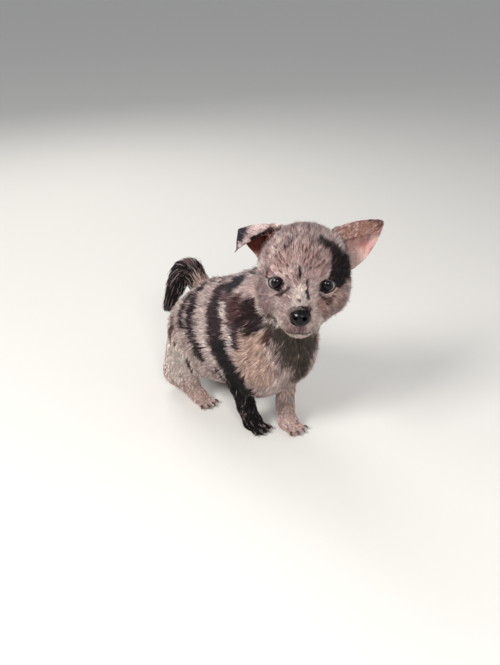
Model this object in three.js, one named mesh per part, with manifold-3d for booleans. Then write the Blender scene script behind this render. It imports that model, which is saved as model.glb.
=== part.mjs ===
// A chihuahua puppy about eight weeks old, standing, at life size, its head turned to its right.
// Millimetres, +Z up. The puppy faces -Y, so its left side is +X. The ground is z = 0.
import * as THREE from "three";
import { mergeVertices } from "three/addons/utils/BufferGeometryUtils.js";
import Module from "manifold-3d";

const wasm = await Module();
wasm.setup();

// Driving sizes, all over the coat
const withersHeight = 124;
const croupHeight = 101;
const trunkLength = 124; // breastbone to buttocks
const chestWidth = 63;
const bellyHeight = 24; // ground to belly
const skullWidth = 61;
const muzzleReach = 49; // middle of the skull to the tip of the nose
const eyeRadius = 6.7;
const eyeSpacing = 33;
const earThickness = 1.6;
const forearmRadius = 6.5;
const stride = 9; // how far each forepaw is from its place in a square stance
const gap = 0.3; // between two parts that touch

// A place in the puppy's own terms: to its left, forwards, and up.
const at = (left, fore, up) => new THREE.Vector3(left, -fore, up);

// Flesh: a field that is below zero inside the body and rises about 1 for each millimetre outwards

// An egg-shaped mass, with its half width, half length and half height.
function ball(centre, halfWidth, halfLength, halfHeight) {
  const half = new THREE.Vector3(halfWidth, halfLength, halfHeight);
  const offset = new THREE.Vector3();
  return (point) => {
    offset.subVectors(point, centre).divide(half);
    const reach = offset.length();
    const slope = offset.divide(half).length();
    return slope < 1e-9 ? -Math.min(halfWidth, halfLength, halfHeight) : (reach * (reach - 1)) / slope;
  };
}

// A round bar from one joint to the next that swells or narrows on the way.
function bar(from, to, startRadius, endRadius) {
  const along = new THREE.Line3(from, to);
  const nearest = new THREE.Vector3();
  return (point) => {
    const share = along.closestPointToPointParameter(point, true);
    return along.at(share, nearest).distanceTo(point) - THREE.MathUtils.lerp(startRadius, endRadius, share);
  };
}

// Masses that run into each other, with a fillet of about softness where they meet.
function blended(softness, masses) {
  return (point) => {
    let depth = masses[0](point);
    for (const mass of masses.slice(1)) {
      const other = mass(point);
      const near = Math.max(softness - Math.abs(depth - other), 0);
      depth = Math.min(depth, other) - (near * near) / (4 * softness);
    }
    return depth;
  };
}

// How far the surface of the flesh is from an inner point, along a direction.
function reachOf(flesh, inner, direction, grow) {
  const point = new THREE.Vector3();
  const closeEnough = 0.005;
  let reach = 0;
  for (let step = 0; step < 120; step++) {
    const depth = flesh(point.copy(inner).addScaledVector(direction, reach)) - grow;
    if (depth > -closeEnough) break;
    reach -= depth * 0.8;
  }
  return reach;
}

// Shapes and solids

// One closed surface from a geometry: its shared vertices merged and its collapsed triangles dropped.
function closed(geometry) {
  geometry.deleteAttribute("normal");
  geometry.deleteAttribute("uv");
  const merged = mergeVertices(geometry, 1e-3);
  const corners = merged.index.array;
  const kept = [];
  for (let i = 0; i < corners.length; i += 3) {
    const [a, b, c] = corners.slice(i, i + 3);
    if (a !== b && b !== c && c !== a) kept.push(a, b, c);
  }
  merged.setIndex(kept);
  return merged;
}

function solidOf(geometry) {
  const shape = closed(geometry);
  const made = new wasm.Manifold(
    new wasm.Mesh({
      numProp: 3,
      vertProperties: shape.attributes.position.array,
      triVerts: new Uint32Array(shape.index.array),
    }),
  );
  if (made.volume() <= 0) throw new Error("a solid is inside out");
  return made;
}

// The largest closed surface of a solid, as a geometry.
function geometryOf(solid) {
  const largest = solid.decompose().reduce((a, b) => (b.volume() > a.volume() ? b : a));
  const mesh = largest.getMesh();
  return new THREE.BufferGeometry()
    .setAttribute("position", new THREE.BufferAttribute(mesh.vertProperties, 3))
    .setIndex(new THREE.BufferAttribute(mesh.triVerts, 1));
}

const joined = (solids) => solids.reduce((a, b) => a.add(b));

// A capsule bent along a spine, with every vertex pushed out to the surface of the flesh.
function wrap(spine, flesh, { around, along, caps, grow = 0 }) {
  const shape = new THREE.CapsuleGeometry(1, 1, caps, around, along);
  const position = shape.attributes.position;
  const vertex = new THREE.Vector3();
  for (let i = 0; i < position.count; i++) {
    vertex.fromBufferAttribute(position, i);
    const share = THREE.MathUtils.clamp(vertex.y + 0.5, 0, 1);
    const inner = spine.getPointAt(share);
    const forwards = spine.getTangentAt(share);
    const left = new THREE.Vector3(1, 0, 0);
    left.addScaledVector(forwards, -left.dot(forwards)).normalize();
    const up = new THREE.Vector3().crossVectors(left, forwards);
    const direction = forwards.clone().multiplyScalar(vertex.y + 0.5 - share);
    direction.addScaledVector(left, vertex.x).addScaledVector(up, vertex.z).normalize();
    inner.addScaledVector(direction, reachOf(flesh, inner, direction, grow));
    position.setXYZ(i, inner.x, inner.y, inner.z);
  }
  return solidOf(shape);
}

// A thin disc that parts one solid into two, face to face.
function partingDisc(centre, normal, radius) {
  const disc = new THREE.CylinderGeometry(radius, radius, gap, 12);
  disc.applyQuaternion(new THREE.Quaternion().setFromUnitVectors(new THREE.Vector3(0, 1, 0), normal));
  return solidOf(disc.translate(centre.x, centre.y, centre.z));
}

// A thin cap with an open lower end. It parts the top of a leg from the trunk, as a ball in a socket.
function partingCap(centre, half, depth) {
  const capsule = (offset, length) => {
    const shape = new THREE.CapsuleGeometry(1, length / half.z, 4, 14);
    shape.translate(0, -length / half.z / 2, 0).rotateX(Math.PI / 2);
    shape.scale(half.x + offset, half.y + offset, half.z + offset);
    return solidOf(shape.translate(centre.x, centre.y, centre.z));
  };
  const outer = capsule(gap / 2, depth).trimByPlane([0, 0, 1], centre.z - depth);
  return outer.subtract(capsule(-gap / 2, 2 * depth));
}

// The piece of a parted solid that holds a point, taken out of the list.
function takePiece(pieces, point) {
  const probe = solidOf(new THREE.BoxGeometry(1, 1, 1).translate(point.x, point.y, point.z));
  const found = pieces.findIndex((piece) => piece.intersect(probe).volume() > 0.5);
  if (found < 0) throw new Error("no piece is left that holds the point");
  return pieces.splice(found, 1)[0];
}

// The head has its own frame, at the middle of the skull: it faces -Y there, as the trunk does.

const breast = trunkLength / 2;
const headPlace = at(2, breast + 3, 148);
const headTurn = THREE.MathUtils.degToRad(47); // to its right
const headLift = THREE.MathUtils.degToRad(1.5);
const headTilt = THREE.MathUtils.degToRad(0.5);

const head = new THREE.Group();
head.position.copy(headPlace);
head.rotation.set(-headLift, headTilt, -headTurn, "ZXY");

const skullHalf = skullWidth / 2;
const eyePlace = (side) => at((side * eyeSpacing) / 2, 20.5, -5);
const noseCentre = at(0, muzzleReach - 4, -18);
const mouthHeight = -31;

const skullFlesh = blended(9, [
  ball(at(0, 0, -1), skullHalf, 31, 28.4),
  ball(at(0, 11, 7), 24, 19.5, 20.5),
  ...[-1, 1].map((side) => ball(at(side * 17.5, 8, -15), 13, 16, 14)),
  ...[-1, 1].map((side) => bar(at(side * 9, 8, -24), at(side * 2.5, muzzleReach - 13, -28), 10, 7)),
  ...[-1, 1].map((side) => bar(at(side * 15, 14, -17), at(side * 6, muzzleReach - 15, -22), 12.5, 7.5)),
  bar(at(0, 16, -16), at(0, muzzleReach - 12.5, -21), 14, 9.6),
]);
const lidReach = eyeRadius + 1.7; // the lids stand this far out over the eyeball
const lidFlesh = [-1, 1].map((side) => ball(eyePlace(side), lidReach, lidReach, lidReach - 0.3));
const headFlesh = blended(4, [
  skullFlesh,
  ...lidFlesh,
  ...[-1, 1].map((side) => ball(at(side * 5, muzzleReach - 12, -25), 6.4, 7.5, 6)),
]);
const headSpine = new THREE.LineCurve3(at(0, -2, -1), at(0, muzzleReach - 16, -20));
const headShape = { around: 36, along: 8, caps: 8 };
const wholeHead = wrap(headSpine, headFlesh, headShape);
const grownHead = wrap(headSpine, headFlesh, { ...headShape, grow: gap });

// The nose is a pad of its own, wide above and narrow below, with two comma-shaped nostrils.
const noseFlesh = blended(3, [
  ball(noseCentre.clone().add(at(0, 0, 1)), 7.3, 4.8, 4.5),
  ball(noseCentre.clone().add(at(0, 0, -2.6)), 5, 4.3, 3.9),
]);
const noseSpine = new THREE.LineCurve3(
  noseCentre.clone().add(at(0, -0.5, -0.5)),
  noseCentre.clone().add(at(0, 0.5, -0.5)),
);
const noseShape = { around: 16, along: 1, caps: 4 };

function nostril(side) {
  const mouth = noseCentre.clone().add(at(side * 3.1, 4.2, 0.7));
  const hollow = blended(1, [
    bar(mouth.clone().add(at(side * 0.6, -2.4, 0)), mouth, 1, 1.6),
    bar(mouth, mouth.clone().add(at(side * 3.4, -2, -1.6)), 1.1, 0.6),
  ]);
  const inwards = new THREE.LineCurve3(mouth.clone().add(at(side * 0.4, -2, 0)), mouth);
  return wrap(inwards, hollow, { around: 6, along: 1, caps: 2 });
}

// The opening between the lids, an almond that follows the gaze.
function lidOpening(side) {
  const outwards = THREE.MathUtils.degToRad(side * 2);
  const halfWidth = 5.5;
  const halfHeight = 4.4;
  const almond = new THREE.Shape();
  almond.moveTo(-halfWidth, -0.4);
  const pullX = halfWidth * 0.6;
  const pullY = halfHeight * 1.3;
  almond.bezierCurveTo(-pullX, pullY, pullX, pullY, halfWidth, 0.2);
  almond.bezierCurveTo(pullX, -pullY, -pullX, -pullY, -halfWidth, -0.4);
  const prism = new THREE.ExtrudeGeometry(almond, { depth: 14, bevelEnabled: false, curveSegments: 7 });
  prism.rotateX(Math.PI / 2); // it now runs towards -Y
  prism.rotateZ(outwards);
  const { x, y, z } = eyePlace(side);
  return solidOf(prism.translate(x, y, z));
}

const eyeball = (radius) => new THREE.SphereGeometry(radius, 16, 10);

// The mouth: a narrow slit that follows the lips back to the corners and then drops behind the jaw.
function mouthSlit() {
  const width = 0.7;
  const lips = [
    [muzzleReach + 12, mouthHeight - 1],
    [muzzleReach - 8, mouthHeight - 0.4],
    [muzzleReach - 18, mouthHeight + 0.4],
    [muzzleReach - 26, mouthHeight + 3.4],
    [muzzleReach - 31, mouthHeight + 3],
    [muzzleReach - 36, mouthHeight - 20],
  ];
  const line = new THREE.SplineCurve(lips.map(([fore, up]) => new THREE.Vector2(fore, up)));
  const shares = Array.from({ length: 25 }, (_, i) => i / 24);
  const edge = (share, offset) => {
    const { x, y } = line.getTangent(share);
    return line.getPoint(share).add(new THREE.Vector2(-y, x).multiplyScalar(offset));
  };
  const outline = new THREE.Shape([
    ...shares.map((share) => edge(share, width / 2)),
    ...shares.reverse().map((share) => edge(share, -width / 2)),
  ]);
  const sheet = new THREE.ExtrudeGeometry(outline, { depth: 2 * skullWidth, bevelEnabled: false });
  sheet.rotateX(Math.PI / 2).rotateZ(-Math.PI / 2); // fore along -Y, up along +Z
  return solidOf(sheet.translate(skullWidth, 0, 0));
}

const sockets = [-1, 1].flatMap((side) => {
  const { x, y, z } = eyePlace(side);
  return [solidOf(eyeball(eyeRadius + gap).translate(x, y, z)), lidOpening(side)];
});
const grownNose = wrap(noseSpine, noseFlesh, { ...noseShape, grow: gap });
const nose = wrap(noseSpine, noseFlesh, noseShape).subtract(joined([nostril(-1), nostril(1)]));
// The groove from the nose down to the mouth
const philtrum = new THREE.BoxGeometry(0.8, 3, 7).translate(0, 5.5 - muzzleReach, mouthHeight + 2.5);

const headPieces = wholeHead
  .subtract(joined([...sockets, grownNose, solidOf(philtrum)]))
  .subtract(mouthSlit())
  .decompose();

// The ears: a cupped leaf each. From the crest along its upper edge a flap is folded forwards and down.
// A section of the leaf runs from the lower edge through the cup to the crest, round the fold and down the flap,
// as its share across goes from 0 to 1.
const foldRadius = 1.9;
const cupShare = 0.55; // how much of each section is cup

function earPoint({ rootLow, lowBulge, rootHigh, crest, tip, hang, opens, cup, flap }, across, along) {
  const low = new THREE.QuadraticBezierCurve3(rootLow, lowBulge, tip).getPoint(along);
  const high = new THREE.QuadraticBezierCurve3(rootHigh, crest, tip).getPoint(along);
  const down = rootLow.clone().sub(rootHigh).normalize().lerp(hang, along).normalize();
  low.addScaledVector(down, 1 - along * 0.2);
  if (across < cupShare) {
    const share = across / cupShare;
    const depth = cup * (1 - along) ** 0.8 * 4 * share * (1 - share);
    return low.lerp(high, share).addScaledVector(opens, -depth);
  }
  const length = (Math.PI * foldRadius + flap(along)) * ((across - cupShare) / (1 - cupShare));
  const turned = Math.min(length / foldRadius, Math.PI);
  const straight = length - turned * foldRadius;
  return high
    .addScaledVector(down, straight - Math.sin(turned) * foldRadius)
    .addScaledVector(opens, foldRadius * (1 - Math.cos(turned)) + straight * 0.12);
}

// A sheet of one thickness on both sides of a surface, triangulated alike on its two faces.
function thickened(surface, thickness, columns, rows) {
  const sheet = new THREE.BoxGeometry(1, 1, 1, columns, rows, 1);
  const position = sheet.attributes.position;
  const small = 1e-3;
  for (let i = 0; i < position.count; i++) {
    const across = THREE.MathUtils.clamp(position.getX(i) + 0.5, small, 1 - small);
    const along = THREE.MathUtils.clamp(position.getY(i) + 0.5, small, 1 - small);
    const point = surface(across, along);
    const ahead = surface(across + small, along).sub(surface(across - small, along));
    const tipwards = surface(across, along + small).sub(surface(across, along - small));
    const normal = ahead.cross(tipwards).normalize();
    point.addScaledVector(normal, position.getZ(i) * thickness * (1 - 0.3 * along));
    position.setXYZ(i, point.x, point.y, point.z);
  }
  return sheet;
}

function ear(shape) {
  return thickened((across, along) => earPoint(shape, across, along), earThickness, 18, 9);
}

// The left ear stands out with a narrow fold. The right one is folded over, so its tip hangs down.
const earLeft = ear({
  rootLow: at(28, -3, -6),
  lowBulge: at(44, -2, 1),
  rootHigh: at(19, -5, 22),
  crest: at(36, -8, 30.5),
  tip: at(52, -7, 29),
  hang: at(0.25, 0, -1),
  opens: at(-0.1, 0.98, 0.2).normalize(),
  cup: 10,
  flap: (along) => 9.5 * (1 - along ** 7),
});
const earRight = ear({
  rootLow: at(-28, -3, -2),
  lowBulge: at(-37, -3, 6),
  rootHigh: at(-16, -5, 22),
  crest: at(-30, -7, 25),
  tip: at(-47, -5, 18.5),
  hang: at(-0.1, 0.1, -1),
  opens: at(0.1, 0.98, 0.2).normalize(),
  cup: 9,
  flap: (along) => 3 + 13 * along,
});

// The body, from the buttocks to the nape, is one skin round one bent spine.

const rump = -trunkLength / 2;
const trunkMiddle = 76;
const shoulderFore = breast - 27;
const hipFore = rump + 26;

head.updateMatrixWorld(true);
const inBody = (solid) => solid.transform(head.matrixWorld.elements);
const fromHead = (left, fore, up) => at(left, fore, up).applyMatrix4(head.matrixWorld);
const nape = fromHead(0, -9, -9);
const throat = fromHead(0, 2, -18);

const bodyFlesh = blended(16, [
  ball(at(0, shoulderFore - 14, 79), chestWidth / 2, 37, 37),
  ball(at(0, hipFore + 25, bellyHeight + 37), chestWidth / 2 + 4, 37, 37),
  ball(at(0, hipFore + 30, 83), 26, 36, 29),
  ball(at(0, hipFore + 3, croupHeight - 30), 27, 28, 29),
  ball(at(0, breast - 24, 73), 24, 24, 30),
  ...[-1, 1].map((side) => ball(at(side * 12, breast - 26, 57), 13, 17, 20)),
  ball(at(0, shoulderFore - 12, withersHeight - 24), 20, 30, 24),
  ...[-1, 1].map((side) => ball(at(side * 21, shoulderFore + 1, 73), 12.5, 20, 28)),
  ...[-1, 1].map((side) => ball(at(side * 21.5, hipFore - 2, 56), 14, 27, 29)),
  bar(at(0, shoulderFore - 17, 89), nape, 27, 20),
  bar(at(0, shoulderFore + 4, 80), throat, 24, 19),
]);
const bodySpine = new THREE.CatmullRomCurve3([
  at(0, hipFore + 2, trunkMiddle - 2),
  at(0, -8, trunkMiddle - 1),
  at(0, 13, trunkMiddle + 4),
  at(1, 31, trunkMiddle + 16),
  at(3, 44, trunkMiddle + 32),
  at(6, 53, trunkMiddle + 48),
  nape,
]);
const body = wrap(bodySpine, bodyFlesh, { around: 26, along: 18, caps: 6 });

// The legs, each a chain of bones from inside the trunk down to the ground

const toeCount = 4;
const clawLength = 3.6;

// Four toes in an arc before the paw, each with its claw. They stand on the ground.
function toes(middle) {
  const spread = 0.42; // radians from one toe to the next
  const made = [];
  for (let toe = 0; toe < toeCount; toe++) {
    const swing = (toe - (toeCount - 1) / 2) * spread;
    const reach = 6.6 - 1.6 * Math.abs(swing);
    const place = middle.clone().add(at(-Math.sin(swing) * 8.2, reach * Math.cos(swing), 0)).setZ(3);
    const pad = new THREE.SphereGeometry(1, 7, 6).scale(2.7, 5.2, 3.7).rotateZ(-swing * 0.7);
    made.push(solidOf(pad.translate(place.x, place.y, place.z)));
    const claw = new THREE.CylinderGeometry(0.25, 1, clawLength, 4);
    claw.rotateX(Math.PI / 2 + 0.35).rotateZ(-swing * 0.7);
    const tip = place.clone().add(at(-Math.sin(swing) * 4.6, 5.4 * Math.cos(swing), 0.4));
    made.push(solidOf(claw.translate(tip.x, tip.y, tip.z)));
  }
  return joined(made);
}

const onGround = (solid) => solid.trimByPlane([0, 0, 1], 0);

function foreleg(side, step) {
  const shoulder = at(side * 19, shoulderFore + 1, 78);
  const elbow = at(side * 21, shoulderFore - 8 + step * 0.4, 48);
  const wrist = at(side * 14, shoulderFore - 5 + step * 0.75, 18);
  const paw = at(side * 10.5, shoulderFore + 1 + step, 4.5);
  const flesh = blended(5, [
    bar(shoulder, elbow, 13, 10),
    bar(elbow, wrist, 9.5, forearmRadius),
    bar(wrist, paw, forearmRadius + 0.2, forearmRadius),
    ball(paw, 7.4, 9, 6),
  ]);
  const bones = new THREE.CatmullRomCurve3([shoulder, elbow, wrist, paw]);
  const limb = wrap(bones, flesh, { around: 12, along: 10, caps: 2 });
  return { limb, toes: toes(paw.clone().add(at(0, 3.4, 0))), wrist };
}

// The hind legs are bent low, with the heel close to the ground.
function hindleg(side, step) {
  const hip = at(side * 16, hipFore + 2, 72);
  const knee = at(side * 22, hipFore + 15, 43);
  const heel = at(side * 21.5, hipFore - 25.5, 15.5);
  const paw = at(side * 20, hipFore + 3 + step, 4.5);
  const thigh = at(side * 20, hipFore, 54);
  const calf = at(side * 21, hipFore - 15, 45);
  const sole = bar(heel, paw, 9.4, 6);
  const flesh = blended(7, [
    bar(hip, knee, 14, 12.5),
    bar(knee, heel, 10.5, 8),
    bar(calf, heel, 14.5, 9.8),
    sole,
  ]);
  const foot = blended(4, [sole, ball(paw, 7.2, 9.4, 5.8)]);
  const bones = new THREE.CatmullRomCurve3([hip, thigh, knee.clone().lerp(heel, 0.5), heel]);
  const limb = wrap(bones, flesh, { around: 14, along: 8, caps: 2 });
  const underfoot = wrap(new THREE.LineCurve3(heel, paw), foot, { around: 10, along: 4, caps: 2 });
  return { limb: limb.add(underfoot), toes: toes(paw.clone().add(at(0, 3.4, 0))), heel };
}

const forelegs = { left: foreleg(1, stride), right: foreleg(-1, -stride) };
const hindlegs = { left: hindleg(1, -stride * 0.4), right: hindleg(-1, stride * 0.4) };

// The tail: up from the croup, over in a hook, and down behind the right hip in a tapered brush

const tailPoints = [
  at(0, rump + 22, croupHeight - 22),
  at(0, rump + 13, croupHeight - 10),
  at(-1, rump + 6, croupHeight + 1),
  at(-2.5, rump - 0.5, croupHeight + 6),
  at(-5.5, rump - 6.5, croupHeight + 4),
  at(-8, rump - 11, croupHeight - 6),
  at(-11, rump - 15, croupHeight - 19),
  at(-14.5, rump - 17.5, croupHeight - 32.5),
];
const tailSpine = new THREE.CatmullRomCurve3(tailPoints);

// How far the coat reaches from the middle of the tail, from root to tip.
function brushReach(share) {
  const brush = THREE.MathUtils.smoothstep(share, 0.15, 0.5);
  const taper = Math.sqrt(1 - THREE.MathUtils.clamp(share, 0, 1) ** 2.6);
  return THREE.MathUtils.lerp(6.5, 9.8, brush) * taper + 0.4;
}

// A place beside the tail, at an angle round it. Past its end the tail runs straight on.
function besideTail(share, angle, reach) {
  const inner = Math.min(share, 1);
  const forwards = tailSpine.getTangentAt(inner);
  const left = new THREE.Vector3(1, 0.4, 0);
  left.addScaledVector(forwards, -left.dot(forwards)).normalize();
  const up = new THREE.Vector3().crossVectors(forwards, left);
  const beyond = (share - inner) * tailSpine.getLength();
  const place = tailSpine.getPointAt(inner).addScaledVector(forwards, beyond);
  return place.addScaledVector(left, Math.sin(angle) * reach).addScaledVector(up, Math.cos(angle) * reach);
}

// The core lies under the locks, half way out. At the root it is all the coat there is.
function tailCore() {
  const shape = new THREE.CylinderGeometry(1, 1, 1, 10, 16);
  const position = shape.attributes.position;
  for (let i = 0; i < position.count; i++) {
    const share = 0.5 - position.getY(i);
    const bare = THREE.MathUtils.smoothstep(share, 0.25, 0.5);
    const radius = brushReach(share) * THREE.MathUtils.lerp(1, 0.62, bare);
    const angle = Math.atan2(position.getX(i), position.getZ(i));
    const onAxis = Math.hypot(position.getX(i), position.getZ(i)) < 0.5;
    const point = besideTail(share, angle, onAxis ? 0 : radius);
    position.setXYZ(i, point.x, point.y, point.z);
  }
  return solidOf(shape);
}

// One flat tapered lock, rooted in the core and lying towards the tip of the tail.
function lock(start, angle, length, rootHalfWidth) {
  const halfThickness = 0.9;
  const shape = new THREE.CylinderGeometry(0, 1, 1, 4, 4);
  const position = shape.attributes.position;
  for (let i = 0; i < position.count; i++) {
    const along = position.getY(i) + 0.5;
    const share = start + along * length;
    const rise = THREE.MathUtils.smoothstep(along, -0.1, 0.75);
    const full = Math.max(brushReach(share), 1.2);
    const middle = THREE.MathUtils.lerp(full * 0.35, full - halfThickness, rise);
    const reach = middle + position.getZ(i) * halfThickness;
    const halfWidth = rootHalfWidth * (0.65 + 0.7 * along);
    const spread = (position.getX(i) * halfWidth) / Math.max(reach, 3);
    const point = besideTail(share, angle - spread, reach);
    position.setXYZ(i, point.x, point.y, point.z);
  }
  return solidOf(shape);
}

function brush() {
  const rings = 6;
  const locksInRing = 7;
  const halfWidth = 2.6;
  const locks = [];
  for (let ring = 0; ring < rings; ring++) {
    for (let i = 0; i < locksInRing; i++) {
      const angle = ((i + (ring % 2) / 2) / locksInRing) * 2 * Math.PI;
      const start = 0.3 + ring * 0.095 + 0.02 * Math.sin(3 * i + ring);
      const length = 0.26 + 0.03 * Math.sin(5 * i + 2 * ring);
      locks.push(lock(start, angle, length, halfWidth));
    }
  }
  return joined(locks);
}
const tail = tailCore().add(brush());

// The body is joined whole and then parted by thin discs.

const partings = [
  partingDisc(at(0, shoulderFore + 3, 108), new THREE.Vector3(0, -0.62, 0.78).normalize(), 52),
  partingDisc(tailSpine.getPointAt(0.26), tailSpine.getTangentAt(0.26), 14),
  ...[-1, 1].flatMap((side) => [
    partingCap(at(side * 22, shoulderFore - 7, 53), new THREE.Vector3(17.5, 18, 17), 23),
    partingCap(at(side * 30, hipFore - 5, 46), new THREE.Vector3(25, 34, 22), 32),
  ]),
];
const limbs = [...Object.values(forelegs), ...Object.values(hindlegs)];
const flesh = joined([body, tail, ...limbs.map((leg) => onGround(leg.limb.add(leg.toes)))]);
const pieces = flesh.subtract(joined(partings)).decompose();

// The finished group

const coat = {
  torso: "#b9a29c",
  neck: "#bda7a1",
  head: "#b79e96",
  ear: "#8d7a78",
  leg: "#bda59b",
  darkLeg: "#3a3436",
  tail: "#2b2729",
};

function furMaterial(colour) {
  return new THREE.MeshStandardMaterial({ color: colour, roughness: 0.95, metalness: 0 });
}
const eyeMaterial = new THREE.MeshStandardMaterial({ color: "#1c110c", roughness: 0.08, metalness: 0 });
const noseMaterial = new THREE.MeshStandardMaterial({ color: "#17151a", roughness: 0.35, metalness: 0 });

function named(name, geometry, material) {
  const mesh = new THREE.Mesh(geometry, material);
  mesh.name = name;
  return mesh;
}

const puppy = new THREE.Group();
const grownHeadInBody = inBody(grownHead);

function addPiece(name, point, colour, trim) {
  const piece = takePiece(pieces, point);
  const solid = trim ? piece.subtract(trim) : piece;
  puppy.add(named(name, geometryOf(solid), furMaterial(colour)));
}

addPiece("torso", at(0, 0, trunkMiddle), coat.torso, grownHeadInBody);
addPiece("neck", bodySpine.getPointAt(0.85), coat.neck, grownHeadInBody);
addPiece("tail", tailSpine.getPointAt(0.6), coat.tail);
addPiece("foreleg_left", forelegs.left.wrist, coat.leg);
addPiece("foreleg_right", forelegs.right.wrist, coat.darkLeg);
addPiece("hindleg_left", hindlegs.left.heel, coat.leg);
addPiece("hindleg_right", hindlegs.right.heel, coat.leg);

head.add(named("head", geometryOf(takePiece(headPieces, at(0, 0, 0))), furMaterial(coat.head)));
const jawMiddle = at(0, muzzleReach - 16, mouthHeight - 4);
head.add(named("lower_jaw", geometryOf(takePiece(headPieces, jawMiddle)), furMaterial(coat.head)));
head.add(named("nose", geometryOf(nose), noseMaterial));
head.add(named("ear_left", geometryOf(solidOf(earLeft).subtract(grownHead)), furMaterial(coat.ear)));
head.add(named("ear_right", geometryOf(solidOf(earRight).subtract(grownHead)), furMaterial(coat.ear)));
for (const [name, side] of [["eye_left", 1], ["eye_right", -1]]) {
  const eye = named(name, closed(eyeball(eyeRadius)), eyeMaterial);
  eye.position.copy(eyePlace(side));
  head.add(eye);
}
puppy.add(head);

// The origin is on the ground, in the middle of the box round the puppy.
const box = new THREE.Box3().setFromObject(puppy, true);
const middle = box.getCenter(new THREE.Vector3()).setZ(box.min.z);
for (const child of puppy.children) child.position.sub(middle);

export default puppy;
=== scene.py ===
"""A chihuahua puppy that stands with its head turned: one skin under a coat of small solid tufts."""

import math

import bmesh
import bpy
import numpy as np
from mathutils import Matrix, Vector
from mathutils.bvhtree import BVHTree
from mathutils.kdtree import KDTree


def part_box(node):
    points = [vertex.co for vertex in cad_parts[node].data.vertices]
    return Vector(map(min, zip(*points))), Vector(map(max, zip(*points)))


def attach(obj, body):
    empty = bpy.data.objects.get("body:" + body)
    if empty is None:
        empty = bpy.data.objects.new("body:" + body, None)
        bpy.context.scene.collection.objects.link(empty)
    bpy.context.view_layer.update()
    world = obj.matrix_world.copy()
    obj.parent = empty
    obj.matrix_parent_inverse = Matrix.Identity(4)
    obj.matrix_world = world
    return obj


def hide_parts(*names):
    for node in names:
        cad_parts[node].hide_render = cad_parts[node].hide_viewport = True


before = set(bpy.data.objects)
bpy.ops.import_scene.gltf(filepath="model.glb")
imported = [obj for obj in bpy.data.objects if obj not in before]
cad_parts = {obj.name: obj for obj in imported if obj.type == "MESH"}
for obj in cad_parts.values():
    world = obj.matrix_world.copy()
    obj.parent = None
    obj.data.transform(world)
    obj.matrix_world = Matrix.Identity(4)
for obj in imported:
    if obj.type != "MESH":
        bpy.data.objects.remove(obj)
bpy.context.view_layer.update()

# Lengths are in mm in the puppy's own terms: x to its left, y backwards, z up. Places are left, fore, up.
MM = 0.001


def at(left, fore, up):
    return np.array([left, -fore, up], float)


# Head
HEAD_PLACE = at(2, 65, 148)
HEAD_TURN, HEAD_LIFT, HEAD_TILT = -47, -1.5, 0.5  # degrees
LIPS = np.array([(52, -30.8), (42, -30.8), (31, -30.4), (23, -27.6), (20.5, -27.4)])  # fore, up
LIPS_WIDTH, LIPS_DEPTH = 0.55, 1.3
BARE_BELOW, BARE_ABOVE = 0.6, 1.3  # how wide the strip without tufts is along the mouth line
GROOVE_WIDTH, GROOVE_DEPTH = 0.6, 0.7  # of the groove under the nose
BOWL_CENTRE, BOWL_SIZE, BOWL_DEPTH = at(-27, 4.5, 15), (7.2, 7.2, 12), 3.2  # in front of the folded ear

# Nose
NOSE_CENTRE = at(0, 45, -18)
NOSE_SHIFT = at(1.1, 0.5, -1.1)
NOSE_SHRINK = 0.93
NOSE_VOXEL = 0.3
NOSE_REACH = at(6.5, 5.5, 5.8)  # half the size of the bare skin behind the nose

# Eyes. A side is 1 at the puppy's left and -1 at its right
EYE_SPACING = 33
EYE_RADIUS = 6.7
EYE_FORE, EYE_UP = 20.5, -5
EYE_REACH, LID_REACH = 10.5, 12  # from an eye's centre to the end of its bare skin and of its lids' shape
OPENING_TURN = {-1: 4, 1: 2}  # degrees that each opening between the lids looks to the left
OPENING_HALF = (4.95, 4.25)  # half its width and height, to the middle of the rim
INNER_CORNER, OUTER_CORNER = (0.45, 0.035), (0.3, 0.05)  # how far a corner runs on and how blunt it is
CREASES = {1: (0.55, 1.62), -1: (0.3, 1.5)}  # above and below an eye: depth, and place against the rim's
CREASE_WIDTH = 0.1
RIM_THICKNESS, RIM_WIDENING = 0.37, 1.3
GAZES = {-1: at(0.035, 0.99, 0.02), 1: at(0.055, 0.99, 0.07)}
CORNEA_RISE = 0.45

# Skin
GROW, EYE_GROW = 0.35, 0.7  # closes the gap between two solids
VOXEL = 1.05
SKULL = ("head", "lower_jaw")
LEGS = ("foreleg_left", "foreleg_right", "hindleg_left", "hindleg_right")
FLESH = ["torso", "neck", *SKULL, "ear_left", "ear_right", *LEGS]
EVENING = {"ear": 0.45, "tail": 0.3}  # how much of the evening these parts take
FOOT_EVENING, FOOT_TOP = 0.3, 9
SKIN_ROUNDS, EAR_ROUNDS, NOSE_ROUNDS = 18, 13, 10  # of evening

# Depth of the coat
DEPTHS = {"torso": 3.0, "neck": 3.4, "ear": 0.2, "eye": 0.4, "tail": 0.0}
BELLY_DEPTH, BELLY_TOP = 2.0, 62
FOOT_DEPTH, THIGH_DEPTH = 0.7, 2.4
MUZZLE_DEPTH, CHEEK_DEPTH, LID_DEPTH = 0.7, 2.2, 0.45

# Tail: the middle of its core from the croup to the tip, and how thick the core and the coat are
TAIL_SPINE = [
    at(0, -40, 79),
    at(0, -49, 91),
    at(-1, -56, 102),
    at(-2.5, -62.5, 107),
    at(-5.5, -68.5, 105),
    at(-8, -73, 95),
    at(-11, -77, 82),
    at(-14.5, -79.5, 68.5),
]
TAIL_CORE = (4.2, 1.6)
TAIL_REACH = ([0, 0.4, 0.7, 0.9, 1.08], [8.5, 9.5, 9.2, 6.2, 1.5])  # by the share of the way to the tip
TAIL_TUFT = [(0.3, 0.55, 0.3), (0.62, 0.9, 0.7), (0.86, 1.0, 1.1), (1.0, 0.9, 1.6)]  # along, out, looseness
TAIL_RADII = (0.24, 0.34, 0.3, 0.18)

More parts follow.
